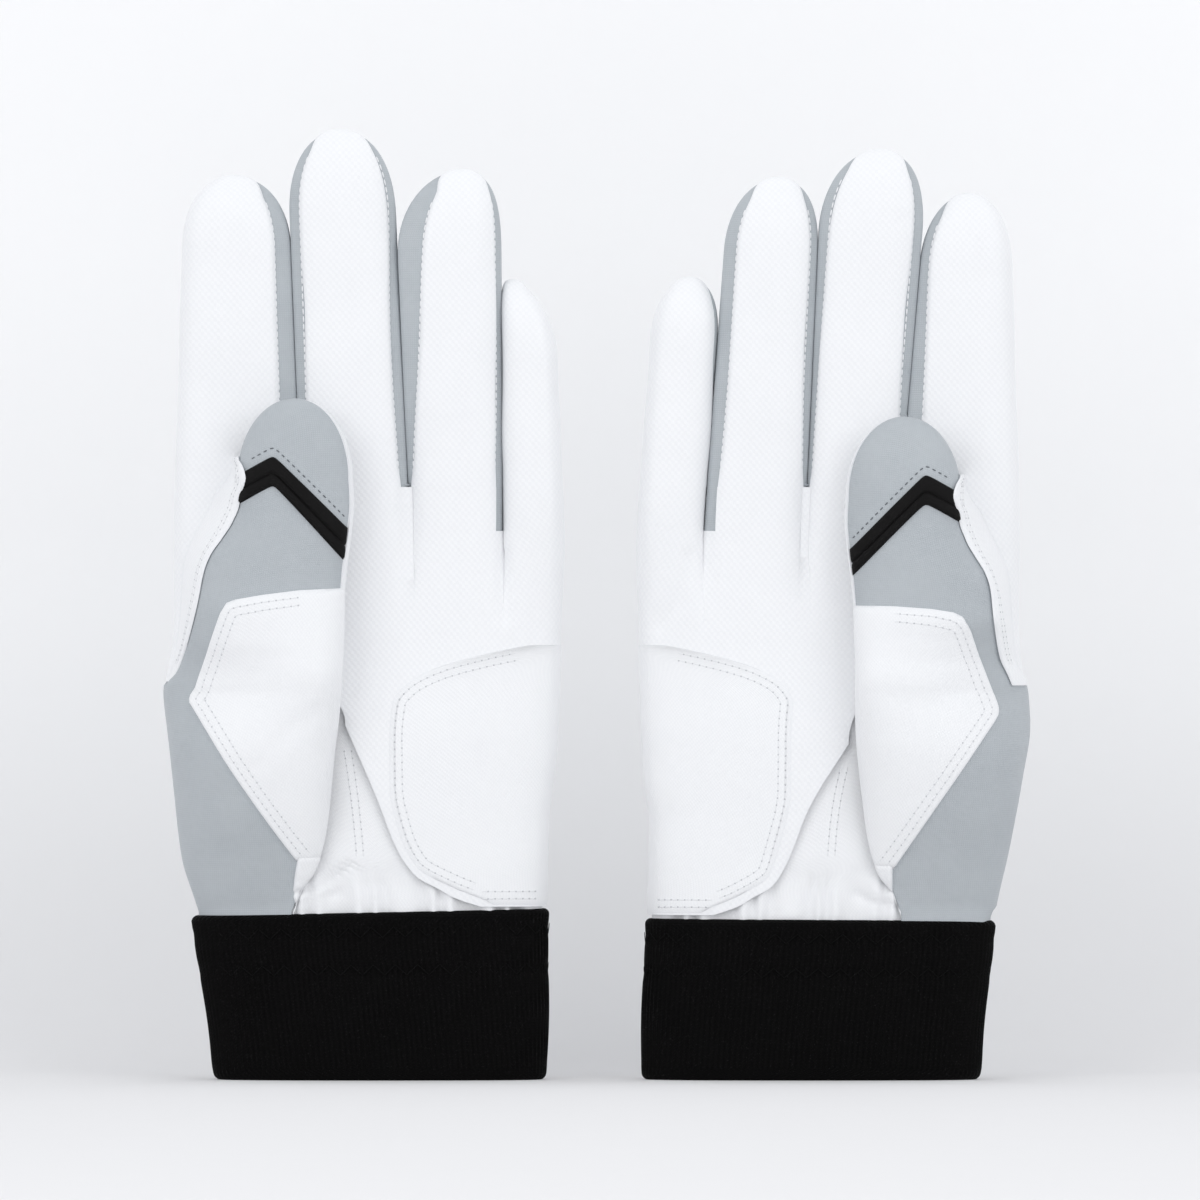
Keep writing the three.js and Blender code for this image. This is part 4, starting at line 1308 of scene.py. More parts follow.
@dataclass
class Workshop:
    """Makes one glove's pieces, places them in the frame and ties the hand's pieces to its hand
    body.
    """

    form: GloveForm
    pieces: int = 0

    @property
    def side(self) -> str:
        """The glove's name."""
        return self.form.pose.name

    def world(self, points: Array) -> Array:
        """Places points of the glove in the frame.

        Args:
            points: Points in the left glove's own frame, in millimetres.

        Returns:
            The points in metres.
        """
        mirror = self.form.pose.mirror
        shift = np.array([-GLOVE_SPACING / 2, DEPTH_SHIFT, 0.0])
        return ((points + shift) * np.array([mirror, 1, 1]) + np.array(PAIR_SHIFT)) * MM

    def shell(
        self,
        name: str,
        outer: Sheet,
        inner: Sheet | float,
        finish: Finish,
        weave: Array | None = None,
    ) -> bpy.types.Object:
        """Makes a closed shell.

        Args:
            name: The piece's name, without the glove's.
            outer: The sheet that is seen.
            inner: The sheet behind it, or the thickness.
            finish: The piece's finish.
            weave: Its cloth coordinates, where they aren't just its own spans.

        Returns:
            The new object.
        """
        behind = inner if isinstance(inner, Sheet) else outer.raised(-inner)
        weave = np.stack(outer.spans(), axis=-1) if weave is None else weave
        weave = weave.reshape(-1, 3)
        points = np.concatenate([outer.points.reshape(-1, 3), behind.points.reshape(-1, 3)])
        faces = shell_faces(outer.cells(), len(weave))
        return self.dress(name, points, faces, np.concatenate([weave, weave]), finish)

    def dress(
        self, name: str, points: Array, faces: list, weave: Array, finish: Finish
    ) -> bpy.types.Object:
        """Makes a mesh of the glove and gives it its finish.

        Args:
            name: The piece's name, without the glove's.
            points: Its points in millimetres.
            faces: Its faces, as tuples of point numbers.
            weave: Cloth coordinates for each point.
            finish: The piece's finish.

        Returns:
            The new object.
        """
        flip = self.form.pose.mirror < 0
        made = new_mesh(f"{self.side}_{name}", self.world(points), faces, weave, flip)
        made.data.materials.append(finish.material())
        self.pieces += 1
        LOG.info("%s: %d faces", made.name, len(made.data.polygons))
        return made

    def fix(self, piece: bpy.types.Object, *nodes: str) -> None:
        """Ties a piece to the glove's hand, in place of some solids."""
        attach(piece, f"{self.side}_hand")
        self.stand_for(nodes)

    def bend(self, piece: bpy.types.Object, finger: Finger, *nodes: str) -> None:
        """Bakes a finger's piece into place and hides the solids that it stands for.

        Args:
            piece: The piece.
            finger: The finger.
            nodes: The solids that it stands for.
        """
        x = finger.root[0]
        start, end = (self.world(np.array([x, 0.0, finger.knuckle + s])) for s in KNUCKLE_RUN)
        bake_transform(piece)
        self.stand_for(nodes)

    def lift(self, piece: bpy.types.Object, *nodes: str) -> None:
        """Bakes a piece of the thumb into place and hides the solids that it stands for.

        Args:
            piece: The piece.
            nodes: The solids that it stands for.
        """
        middle, way = self.form.fold()
        start, end = (self.world(middle + way * run) for run in FOLD_RUN)
        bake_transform(piece)
        self.stand_for(nodes)

    def stand_for(self, nodes: Sequence[str]) -> None:
        """Says which solids a piece stands for."""
        if nodes:
            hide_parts(*(f"{self.side}_{node}" for node in nodes))


# Stitching


PROBE = 0.2
LINE_PITCH = 0.6
STITCH_PROFILE = ((-1.0, 0.25), (-0.82, 0.75), (-0.4, 1.0), (0.4, 1.0), (0.82, 0.75), (1.0, 0.25))
STITCH_SIDES = 6


def outward(surface: Surface, x: Array, z: Array) -> Array:
    """The way off a surface.

    Args:
        surface: The surface.
        x: Places on it seen from the front, from side to side.
        z: Their heights.

    Returns:
        The outward directions there.
    """
    right = surface(x + PROBE, z) - surface(x - PROBE, z)
    up = surface(x, z + PROBE) - surface(x, z - PROBE)
    return unit(np.cross(right, up))


def stand_off(surface: Surface, height: Callable[[Array], Array]) -> Surface:
    """A surface that stands off another.

    Args:
        surface: The surface under it.
        height: How far it stands off that surface's points.

    Returns:
        The surface.
    """

    def face(x: Array, z: Array) -> Array:
        """Points at places seen from the front."""
        place = surface(x, z)
        return place + outward(surface, x, z) * height(place)[..., None]

    return face


def seen_line(surface: Surface, outline: Outline) -> tuple[Array, Array]:
    """Close points on a surface along an outline.

    Args:
        surface: The surface.
        outline: The outline seen from the front.

    Returns:
        The points, and the ways off the surface there.
    """
    corners = np.array(outline, dtype=float)
    run = run_of(corners)
    at = np.linspace(0, run[-1], max(4, round(run[-1] / LINE_PITCH)))
    x, z = (np.interp(at, run, corners[:, i]) for i in (0, 1))
    return surface(x, z), outward(surface, x, z)


def read_row(at: Array | float, run: Array, row: Array) -> Array:
    """The vectors at distances along a row that has its own distances."""
    return np.stack([np.interp(at, run, row[:, i]) for i in range(3)], axis=-1)


def spaced(line: Array, normals: Array, pitch: float) -> tuple[Array, Array, Array]:
    """Evenly spaced places along a line of points.

    Args:
        line: The points.
        normals: The outward directions there.
        pitch: The distance between places.

    Returns:
        The places, the line's directions and the outward directions.
    """
    run = run_of(line)
    count = max(2, round(run[-1] / pitch))
    at = (np.arange(count) + 0.5) / count * run[-1]
    grids = (line, np.gradient(line, run, axis=0), normals)
    places, ways, out = (read_row(at, run, grid) for grid in grids)
    return places, ways, unit(out)


def inset(outline: Outline, distance: float) -> Array:
    """An open outline moved to its right, with its corners kept.

    Args:
        outline: The outline.
        distance: How far it is moved.

    Returns:
        The moved corners.
    """
    corners = np.array(outline, dtype=float)
    ways = unit(np.diff(corners, axis=0))
    sides = np.stack([ways[:, 1], -ways[:, 0]], axis=-1)
    first, last = np.vstack([sides[:1], sides]), np.vstack([sides, sides[-1:]])
    bend = first + last
    return corners + bend / np.maximum((first * bend).sum(axis=1, keepdims=True), 0.3) * distance


@dataclass(frozen=True)
class Stitch:
    """One kind of stitch, in millimetres."""

    length: float = 1.2
    radius: float = 0.13
    proud: float = 0.0

    def template(self) -> tuple[Array, list]:
        """A stitch along x, with z outwards.

        Returns:
            Its points and faces.
        """
        sides, last = STITCH_SIDES, (len(STITCH_PROFILE) - 1) * STITCH_SIDES
        points = [
            (x * self.length / 2, g * self.radius * math.cos(t), g * self.radius * math.sin(t))
            for x, g in STITCH_PROFILE
            for t in np.arange(sides) * 2 * math.pi / sides
        ]
        faces = [
            (r + c, r + sides + c, r + sides + (c + 1) % sides, r + (c + 1) % sides)
            for r in range(0, last, sides)
            for c in range(sides)
        ]
        caps = [tuple(range(sides)), tuple(range(last + sides - 1, last - 1, -1))]
        return np.array(points), faces + caps


class Sewing(Enum):
    """The kinds of stitches on the gloves."""

    TOPSTITCH = Stitch()
    # The sunken dot that carries the needle holes' painted shade.
    NEEDLE_HOLE_SHADE = Stitch(0.5, 0.22, -0.06)
    OVERCAST = Stitch(1.5, 0.2, -0.04)
    BAR_TACK = Stitch(2.6, 0.2, 0.0)
    DASH = Stitch(0.95, 0.17, 0.03)
    ZIGZAG = Stitch(3.9, 0.13, 0.0)


@dataclass
class Seam:
    """Stitches of one kind, gathered into one piece."""

    shop: Workshop
    kind: Sewing
    points: list = field(default_factory=list)
    faces: list = field(default_factory=list)

    def add(self, centres: Array, ways: Array, normals: Array) -> None:
        """Adds stitches.

        Args:
            centres: Where they lie.
            ways: The directions that they run in.
            normals: The surface's outward directions there.
        """
        stitch = self.kind.value
        shape, faces = stitch.template()
        ways = unit(ways - normals * (ways * normals).sum(axis=-1, keepdims=True))
        basis = np.stack([ways, np.cross(normals, ways), normals], axis=1)
        points = centres[:, None, :] + normals[:, None, :] * stitch.proud + shape @ basis
        start = len(shape) * sum(len(group) for group in self.points)
        for n in range(len(centres)):
            self.faces += [tuple(i + start + n * len(shape) for i in face) for face in faces]
        self.points.append(points)

    def row(self, surface: Surface, outline: Outline, pitch: float) -> None:
        """Sews along an outline seen from the front, on a surface."""
        self.add(*spaced(*seen_line(surface, outline), pitch))

    def finish(self, name: str, finish: Finish) -> bpy.types.Object:
        """Makes the piece."""
        points = np.concatenate(self.points).reshape(-1, 3)
        return self.shop.dress(name, points, self.faces, np.zeros_like(points), finish)


class Topstitch:
    """Rows of white stitches with grey dots of painted shade for the needle holes between them."""

    pitch = 1.8

    def __init__(self, shop: Workshop) -> None:
        """Starts with no rows."""
        self.thread = Seam(shop, Sewing.TOPSTITCH)
        self.hole_shades = Seam(shop, Sewing.NEEDLE_HOLE_SHADE)

    def row(self, surface: Surface, outline: Outline) -> None:
        """Sews along an outline seen from the front, on a surface."""
        self.trail(*seen_line(surface, outline))

    def trail(self, line: Array, normals: Array) -> None:
        """Sews along a line of points.

        Args:
            line: The points.
            normals: The surface's outward directions there.
        """
        steps = spaced(line, normals, self.pitch / 2)
        self.thread.add(*(step[::2] for step in steps))
        self.hole_shades.add(*(step[1::2] for step in steps))

    def finish(self, name: str) -> tuple[bpy.types.Object, bpy.types.Object]:
        """Makes the two pieces."""
        thread = self.thread.finish(f"{name}_stitches", Finish.WHITE_THREAD)
        return thread, self.hole_shades.finish(f"{name}_needle_holes", Finish.NEEDLE_HOLE_SHADE)


# Sub-assemblies


CUT_COLUMN = -9.0
HEM_ROW = (27.5, 40.5)
HEM_ROW_LIFT = 0.6
BEHIND_THUMB = (2.5, 14.0)
BEHIND_THUMB_RUN = (48.0, 60.0)
UNDER_PALM = 6.0
UNDER_PALM_RUN = (45.0, 56.0)
GATHERED = ((TUCK, TUCK + 4.0), (44.0, 55.0))
GUSSET_STEP = ((-0.8, 0.8), (2.0, 9.0))
GUSSET_STEP_HEIGHTS = ((42.5, 46.0), (48.0, 53.0))
HEEL_EDGE = (
    ((0, 30), (0.06, 20), (0.14, 11), (0.29, 6.4), (0.45, 4.4), (0.64, 4.3), (0.78, 5.2))
    + ((0.85, 8.8), (0.91, 16), (0.96, 27), (1, 39))
)


@dataclass(frozen=True)
class Gathers:
    """The upright folds of the gathered wrist, in millimetres."""

    turn: float = 0.95
    uneven_turn: float = 0.37
    uneven: float = 1.7
    lean: float = 0.06
    level: float = 42.0
    depth: float = 0.75

    def on(self, x: Array, z: Array) -> Array:
        """How far the folds move points out, at places seen from the front."""
        uneven = np.sin(x * self.uneven_turn) * self.uneven
        return np.sin(x * self.turn + uneven + (z - self.level) * self.lean) * self.depth


@dataclass
class PalmSide:
    """The leather of the palm and the finger fronts, the heel pad and the wrist's under-layer."""

    shop: Workshop
    leather: float = 0.9
    proud: float = 0.55
    edge_round: float = 1.0
    pad: float = 0.4
    pad_lift: float = 0.05
    pad_top: float = 108.6
    pad_bend: float = 97.0
    pad_side: float = 0.2
    pad_bevel: float = 1.8
    pad_turns: tuple[float, float, float] = (50.0, 80.0, 112.0)
    pad_bedding: float = 0.3
    sunk: float = -0.9
    lining: float = 0.7
    gusset_step: float = 0.9
    overcast_pitch: float = 1.9
    counts: tuple[int, ...] = (41, 27, 27, 35)
    row_counts: tuple[int, ...] = (45, 11, 31, 10)
    pad_rows: tuple[float, ...] = (1.4, 3.2)
    gusset_rows: tuple[float, ...] = (0.0, 1.8)
    swell: Swell = Swell(34.0, 0.3, 11)
    front_swell: Swell = Swell(26.0, 0.25, 20)
    gusset_swell: Swell = Swell(17.0, 0.25, 5)
    gathers: Gathers = Gathers()

    def build(self) -> None:
        """Makes the palm's pieces."""
        grains = self.palm()
        for finger, count, grain in zip(self.shop.form.fingers, self.counts, grains):
            self.front(finger, count, grain)
            self.overcast(finger)
        topstitch = Topstitch(self.shop)
        self.heel_pad(topstitch)
        self.gusset(topstitch)
        for piece in topstitch.finish("palm"):
            self.shop.fix(piece)
        self.tacks()

    def front_angles(self, finger: Finger, z: Array) -> tuple[Array, Array]:
        """The edges of a finger's front.

        Args:
            finger: The finger.
            z: Heights.

        Returns:
            The angles of the two edges at each height.
        """
        low = -finger.wrap_seam(z) if finger.name == "index" else finger.front_seam(z, -1)
        high = finger.wrap_seam(z) if finger.name == "little" else finger.front_seam(z, 1)
        return low, high

    def relief(self, points: Array) -> Array:
        """The height of the palm's face over the plain form.

        Args:
            points: Points on the plain form.

        Returns:
            Their heights, with the leather's gentle swells and folds.
        """
        form = self.shop.form
        x, z = points[..., 0], points[..., 2]
        swell = self.swell.on(points) * form.calm(z)
        inside = np.minimum(x - form.radial_edge(z), form.ulnar_edge(z) - x)
        return self.stand(inside) + swell * ease(inside, 0, 4) + form.creased("palm", points)

    def stand(self, inside: Array) -> Array:
        """How far the leather stands off the form, at distances inside the outline."""
        return self.proud * mix(0.1, 1.0, ease(inside, 0, 3))

    def palm(self) -> list[float]:
        """The palm, from its hem to the roots of the fingers.

        Returns:
            The leather's grain coordinate at the middle column of each finger's root.
        """
        form = self.shop.form
        which = np.repeat(np.arange(4), self.counts)
        starts = np.concatenate([[0], np.cumsum(self.counts)])
        edges = [self.front_angles(finger, FINGER_ROOT) for finger in form.fingers]
        spans = [np.linspace(*map(float, e), n) for e, n in zip(edges, self.counts)]
        angles = np.concatenate(spans)
        across = form.roots(which, angles)
        hem = form.pose.hem
        low, *upper = self.row_counts
        levels = (form.crotch, THUMB_HOLE_TOP, LITTLE_CROTCH, FINGER_ROOT)
        bands = [np.linspace(*band)[1:] for band in zip(levels, levels[1:], upper)]
        rows = np.concatenate([hem + (form.crotch - hem) * np.linspace(0, 1, low) ** 1.25, *bands])
        z = np.repeat(rows[:, None], len(which), axis=1)
        back = np.cos(np.radians(angles)) < 0
        beyond = across > form.across(CUT_COLUMN, FINGER_ROOT)
        edge = int(np.flatnonzero((which == 1) & beyond)[0])
        share = (across - across[edge]) / (1 - across[edge])
        cut = mix(form.across(form.palm_edge(z), z), 1.0, share[None, :])
        narrow = 1 - ease(z, form.crotch + 1, THUMB_HOLE_TOP)
        place = np.where(back[None, :], across[None, :], mix(across[None, :], cut, narrow))
        on_hand = form.hand(place, np.where(back, 1, -1)[None, :], z)
        points = form.to_fingers(on_hand, which, angles)
        keep = np.ones((len(rows) - 1, len(which) - 1), dtype=bool)
        keep[rows[:-1] < THUMB_HOLE_TOP - ROW_SLACK, :edge] = False
        for i, crotch in enumerate(CROTCHES):
            keep[rows[:-1] >= crotch - ROW_SLACK, starts[i + 1] - 1] = False
        sheet = Sheet(points, keep)
        along, _, _ = sheet.spans()
        ring = slice(starts[2], starts[2] + 1)
        grain = along - along[:, ring] + points[:, ring, 0]
        cut_edge = np.where(z < THUMB_HOLE_TOP, along - along[:, edge : edge + 1], FAR_FROM_EDGE)
        weave = np.stack([grain, z, np.minimum(cut_edge, z - hem)], axis=-1)
        outer = sheet.raised(self.relief(points))
        piece = self.shop.shell("palm_skin", outer, self.leather, Finish.LEATHER, weave)
        self.shop.fix(piece, "palm_leather")
        middles = [start + count // 2 for start, count in zip(starts, self.counts)]
        return [float(grain[-1, middle]) for middle in middles]

    def front(self, finger: Finger, count: int, grain: float) -> None:
        """A finger's front leather, from the palm over the tip.

        Args:
            finger: The finger.
            count: How many columns it has.
            grain: The palm's grain coordinate where the middle column starts.
        """
        rows = finger.levels(FINGER_ROOT)
        points = finger.panel(rows, self.front_angles(finger, rows), count, -RIDGE_GAP)
        sheet = Sheet(points)
        along, up, _ = sheet.spans()
        reach = along[:, -1:] - (along if finger.name == "little" else np.abs(along))
        rise = rounding(reach, self.edge_round)
        start, top = finger.fades(rows, 2.5)
        swell = self.front_swell.of(finger.name).on(points)
        swell = swell + self.shop.form.creased(finger.name, points)
        wrap = {"index": -1, "little": 1}.get(finger.name, 0)
        half = (finger.half(rows) * finger.fullness(rows))[:, None]
        off_centre = points[..., 0] - finger.centre(rows)[:, None]
        inside = half - wrap * off_centre if wrap else half + FAR_FROM_EDGE
        stand = mix(1.0, mix(1.0, rise, top), start) * mix(self.proud, self.stand(inside), top)
        outer = sheet.raised(stand + swell * start * top)
        middle = slice(count // 2, count // 2 + 1)
        drift = points[:, middle, 0] - points[0, middle, 0]
        grains = along - along[:, middle] + grain + drift
        weave = np.stack([grains, FINGER_ROOT + up, reach], axis=-1)
        name = f"{finger.name}_front"
        piece = self.shop.shell(f"{name}_skin", outer, self.leather, Finish.LEATHER, weave)
        self.shop.bend(piece, finger, name)

    def overcast(self, finger: Finger) -> None:
        """Sews small stitches over the front leather's sewn edges.

        Args:
            finger: The finger.
        """
        seam = Seam(self.shop, Sewing.OVERCAST)
        wrapped = (("index", -1), ("little", 1))
        z = np.arange(FINGER_ROOT + 2, finger.tip - 7, self.overcast_pitch)
        for side in (-1, 1):
            if (finger.name, side) in wrapped:
                continue
            angle = finger.front_seam(z, side)
            centres = finger.point(angle - side * 0.3, z, self.proud * 0.2)
            ways = finger.point(angle + 2, z) - finger.point(angle - 2, z)
            ups = finger.point(angle, z + 0.5) - finger.point(angle, z - 0.5)
            seam.add(centres, ups, unit(np.cross(ways, ups)))
        self.shop.bend(seam.finish(f"{finger.name}_overcast", Finish.WHITE_THREAD), finger)

    def heel_edge(self, z: Array) -> Array:
        """The inner edge of the heel pad.

        Args:
            z: Heights.

        Returns:
            The edge's place from side to side at each height.
        """
        pose = self.shop.form.pose
        low = pose.hem + 1
        shift = pose.pad_shift * hump(z, (low, 60), (85, 105))
        return Curve(GloveForm.between(low, self.pad_top, HEEL_EDGE))(z) + shift

    def heel_pad(self, topstitch: Topstitch) -> None:
        """Makes the second layer over the heel of the palm, with its rows of stitches.

        Args:
            topstitch: The palm's stitches.
        """
        form = self.shop.form
        hem = form.pose.hem
        side = np.linspace(hem + 0.5, self.pad_bend, 44)
        rows = np.concatenate([side, np.linspace(self.pad_bend, self.pad_top, 20)[1:]])
        from_turn = np.arcsin(form.across(self.heel_edge(rows), rows) ** (SECTION_POWER / 2))
        thins, thinned, end = map(math.radians, self.pad_turns)
        turns = mix(from_turn[:, None], end, np.linspace(0, 1, 52)[None, :])
        across = np.abs(np.sin(turns)) ** (2 / SECTION_POWER)
        base = Sheet(form.hand(across, np.where(turns > math.pi / 2, 1, -1), rows[:, None]))
        relief = self.relief(base.points)
        thick = mix(self.pad, self.pad_side, ease(turns, thins, thinned))
        outer = base.raised(relief + self.pad_lift + thick * base.bevel(self.pad_bevel))
        inner = base.raised(relief - self.pad_bedding)
        piece = self.shop.shell("heel_pad_skin", outer, inner, Finish.PATCH)
        self.shop.fix(piece, "heel_pad")
        face = stand_off(form.palm, lambda place: self.relief(place) + self.pad_lift + self.pad)
        heights = np.linspace(hem + 3, self.pad_top - 0.8, 60)
        outline = np.stack([self.heel_edge(heights), heights], axis=-1)
        for gap in self.pad_rows:
            line = inset(outline, gap)
            topstitch.row(face, line[(line[:, 0] < HEEL_EDGE[-1][1]) & (line[:, 1] > hem + gap)])
            topstitch.row(face, [(x, hem + HEM_ROW_LIFT + gap) for x in HEM_ROW])

    def gusset(self, topstitch: Topstitch) -> None:
        """Makes the gathered under-layer of the wrist, with its rows of stitches.

        Args:
            topstitch: The palm's stitches.
        """
        form = self.shop.form
        rows = np.linspace(TUCK, THUMB_HOLE_TOP + 2, 66)
        left = form.thumb_right(rows) - mix(*BEHIND_THUMB, ease(rows, *BEHIND_THUMB_RUN))
        right = form.palm_edge(rows) + UNDER_PALM
        right = mix(right, form.ulnar_edge(rows) - 0.3, 1 - ease(rows, *UNDER_PALM_RUN))
        x = mix(left[:, None], right[:, None], np.linspace(0, 1, 96)[None, :])
        z = np.repeat(rows[:, None], x.shape[1], axis=1)
        base = Sheet(form.palm(x, z, self.sunk))
        gathers = self.gathers.on(x, z) * hump(z, *GATHERED)
        step = hump(x - form.thumb_right(z), *GUSSET_STEP) * hump(z, *GUSSET_STEP_HEIGHTS)
        gathers += self.gusset_step * step
        swell = self.gusset_swell.on(base.points) + form.creased("foot", base.points)
        outer = base.raised(gathers + swell)
        piece = self.shop.shell("wrist_gusset_skin", outer, self.lining, Finish.PATCH)
        self.shop.fix(piece, "wrist_gusset")

        def face(x: Array, z: Array) -> Array:
            """The under-layer's face."""
            place = form.palm(x, z, self.sunk)
            return place + outward(form.palm, x, z) * self.gusset_swell.on(place)[..., None]

        heights = np.linspace(56, form.crotch - 6, 30)
        lean = mix(form.thumb_right(heights), form.palm_edge(heights), 0.45)
        for gap in self.gusset_rows:
            topstitch.row(face, np.stack([lean + gap, heights], axis=-1))

    def tacks(self) -> None:
        """The bar tacks at the bottoms of the crotches."""
        seam = Seam(self.shop, Sewing.BAR_TACK)
        fingers = self.shop.form.fingers
        for left, right, crotch in zip(fingers, fingers[1:], CROTCHES):
            z = crotch + np.array([0.5])
            start = left.point(left.front_seam(z, 1) + 3, z)
            end = right.point(right.front_seam(z, -1) - 3, z)
            way = unit(end - start)
            seam.add((start + end) / 2, way, unit(np.cross(way, UP)))
        self.shop.fix(seam.finish("crotch_tacks", Finish.CLOTH))


@dataclass
class BackSide:
    """The grey fabric behind the hand and the side strips between the fingers."""

    shop: Workshop
    cloth: float = 0.7
    slit: float = 0.02
    sewn: float = 35.0
    sunk: float = 0.12
    laps: tuple[float, float] = (2.5, 1.5)
    turned_back: float = 104.0
    runs: tuple[float, float, float] = (15.0, 15.0, 20.0)
    count: int = 17
    swell: Swell = Swell(30.0, 0.4, 31)
    finger_swell: Swell = Swell(22.0, 0.3, 40)

    def build(self) -> None:
        """Makes the back's pieces and the side strips."""
        fingers = self.shop.form.fingers
        for finger, grain in zip(fingers[::-1], self.back()):
            self.finger_back(finger, grain)
        shifts = self.shop.form.pose.strip_shifts
        for left, right, crotch, *meeting in zip(fingers, fingers[1:], CROTCHES, shifts, self.runs):
            self.strip(left, 1, crotch, *meeting)
            self.strip(right, -1, crotch, *meeting)
            self.web(left, right, crotch)

    def back_angles(self, finger: Finger, z: Array) -> tuple[Array, Array]:
        """The angles of a finger back's two edges, from the little-finger side round behind."""
        low = 180 - mix(180 - WRAP_ANGLE, RIDGE_ANGLE, finger.closing(z))
        return low, 360 - low

    def back(self) -> list[float]:
        """The back of the hand, from inside the cuff to the roots of the fingers.

        Returns:
            The cloth's grain coordinate at each finger's middle column, from the little finger.
        """
        form = self.shop.form
        which = np.repeat((3, 2, 1, 0), self.count)
        edges = map(float, self.back_angles(form.fingers[0], FINGER_ROOT))
        angles = np.tile(np.linspace(*edges, self.count), len(form.fingers))
        across = form.roots(which, angles)
        rows = np.concatenate(
            [np.linspace(TUCK, LITTLE_CROTCH, 66), np.linspace(LITTLE_CROTCH, FINGER_ROOT, 10)[1:]]
        )
        z = np.repeat(rows[:, None], len(which), axis=1)
        points = form.to_fingers(form.hand(across[None, :], 1, z), which, angles)
        keep = np.ones((len(rows) - 1, len(which) - 1), dtype=bool)
        keep[rows[:-1] >= LITTLE_CROTCH - ROW_SLACK, self.count - 1] = False
        sheet = Sheet(points, keep)
        along, _, edge = sheet.spans()
        swell = self.swell.on(points) * form.calm(z)
        swell = swell - form.cuff_tuck(z) * (1 - ease(across, -1, -0.6))
        weave = np.stack([along, z, np.where(z > 100, FAR_FROM_EDGE, edge)], axis=-1)
        outer = sheet.raised(swell)
        piece = self.shop.shell("hand_back_skin", outer, self.cloth, Finish.CLOTH, weave)
        self.shop.fix(piece, "hand_back")
        return [float(along[-1, n * self.count + self.count // 2]) for n in range(4)]

    def finger_back(self, finger: Finger, grain: float) -> None:
        """The back of a finger stall.

        Args:
            finger: The finger.
            grain: The back's grain coordinate where the middle column starts.
        """
        rows = finger.levels(FINGER_ROOT)
        points = finger.panel(rows, self.back_angles(finger, rows), self.count, RIDGE_GAP)
        start, top = finger.fades(rows, 4)
        swell = self.finger_swell.of(finger.name).on(points) * start * top
        sheet = Sheet(points)
        along, up, _ = sheet.spans()
        reach = np.abs(along[:, :1]) - np.abs(along)
        weave = np.stack([along + grain, FINGER_ROOT + up, reach], axis=-1)
        name = f"{finger.name}_back"
        outer = sheet.raised(swell)
        piece = self.shop.shell(f"{name}_skin", outer, self.cloth, Finish.CLOTH, weave)
        self.shop.bend(piece, finger, name)

    def strip(self, finger: Finger, side: int, crotch: float, shift: float, run: float) -> None:
        """A side strip of a finger, which meets its neighbour's in the gap.

        Args:
            finger: The finger.
            side: 1 on the little finger's side, else -1.
            crotch: The height that the strip starts at.
            shift: How far the line where the strips meet lies from the middle of the gap.
            run: The degrees in which a strip sewn on self.sewn degrees off the side reaches it.
        """
        name = f"{finger.name}_{'outer' if side > 0 else 'thumb'}_side"
        rows = finger.levels(crotch - 0.5)
        full = finger.fullness(rows)[:, None]
        front = np.abs(finger.front_seam(rows, side))[:, None] - self.laps[0]
        back = self.back_angles(finger, rows)[0][:, None] + self.laps[1]
        share = np.concatenate([np.linspace(0, 0.3, 9), np.linspace(0.3, 1, 11)[1:]])
        angle = mix(front, back, (share if side > 0 else share[::-1])[None, :])
        points = finger.point(side * angle, rows[:, None], -self.sunk * full)
        meeting = side * (finger.half(rows)[:, None] + FINGER_GAP / 2 - self.slit) + shift
        reached = ease(angle, front, front + run * (90 - front) / self.sewn)
        reached = reached * (1 - ease(angle, self.turned_back, back))
        line = finger.centre(rows)[:, None] + meeting * full
        points[..., 0] = mix(points[..., 0], line, reached)
        piece = self.shop.shell(f"{name}_skin", Sheet(points), self.cloth, Finish.CLOTH)
        self.shop.bend(piece, finger, name)

    def web(self, left: Finger, right: Finger, crotch: float) -> None:
        """Makes the saddle of fabric at the bottom of a crotch.

        Args:
            left: The finger on the thumb's side.
            right: The finger on the other side.
            crotch: The crotch's height.
        """
        drop, rim, lift = 1.6, crotch + 1.4, -0.3
        share = np.linspace(0, 1, 9)
        edge_left = left.point(mix(WRAP_ANGLE, left.seams[1][0], share), rim, lift)
        edge_right = right.point(-mix(WRAP_ANGLE, right.seams[0][0], share), rim, lift)
        rows = []
        for turn in np.linspace(0, math.pi, 9):
            row = mix(edge_left, edge_right, (1 - math.cos(turn)) / 2)
            row[:, 2] -= drop * math.sin(turn)
            rows.append(row)
        sheet = Sheet(np.array(rows))
        pair = f"{left.name}_{right.name}"
        piece = self.shop.shell(f"crotch_{pair}", sheet, self.cloth, Finish.CLOTH)
        self.shop.fix(piece, f"fourchette_{pair}")


PATCH_CROWN = 5
FLAP_DROP = 14.5
FLAP_FOOT = 98.5
FLAP_NECK = 102.0
FLAP_CUT = (100.3, 103.0)
FLAP_TUCK = (98.0, 103.0)
FLAP_FREE = (103.0, 110.0)
UNDER_INDEX = (98.5, 99.6)


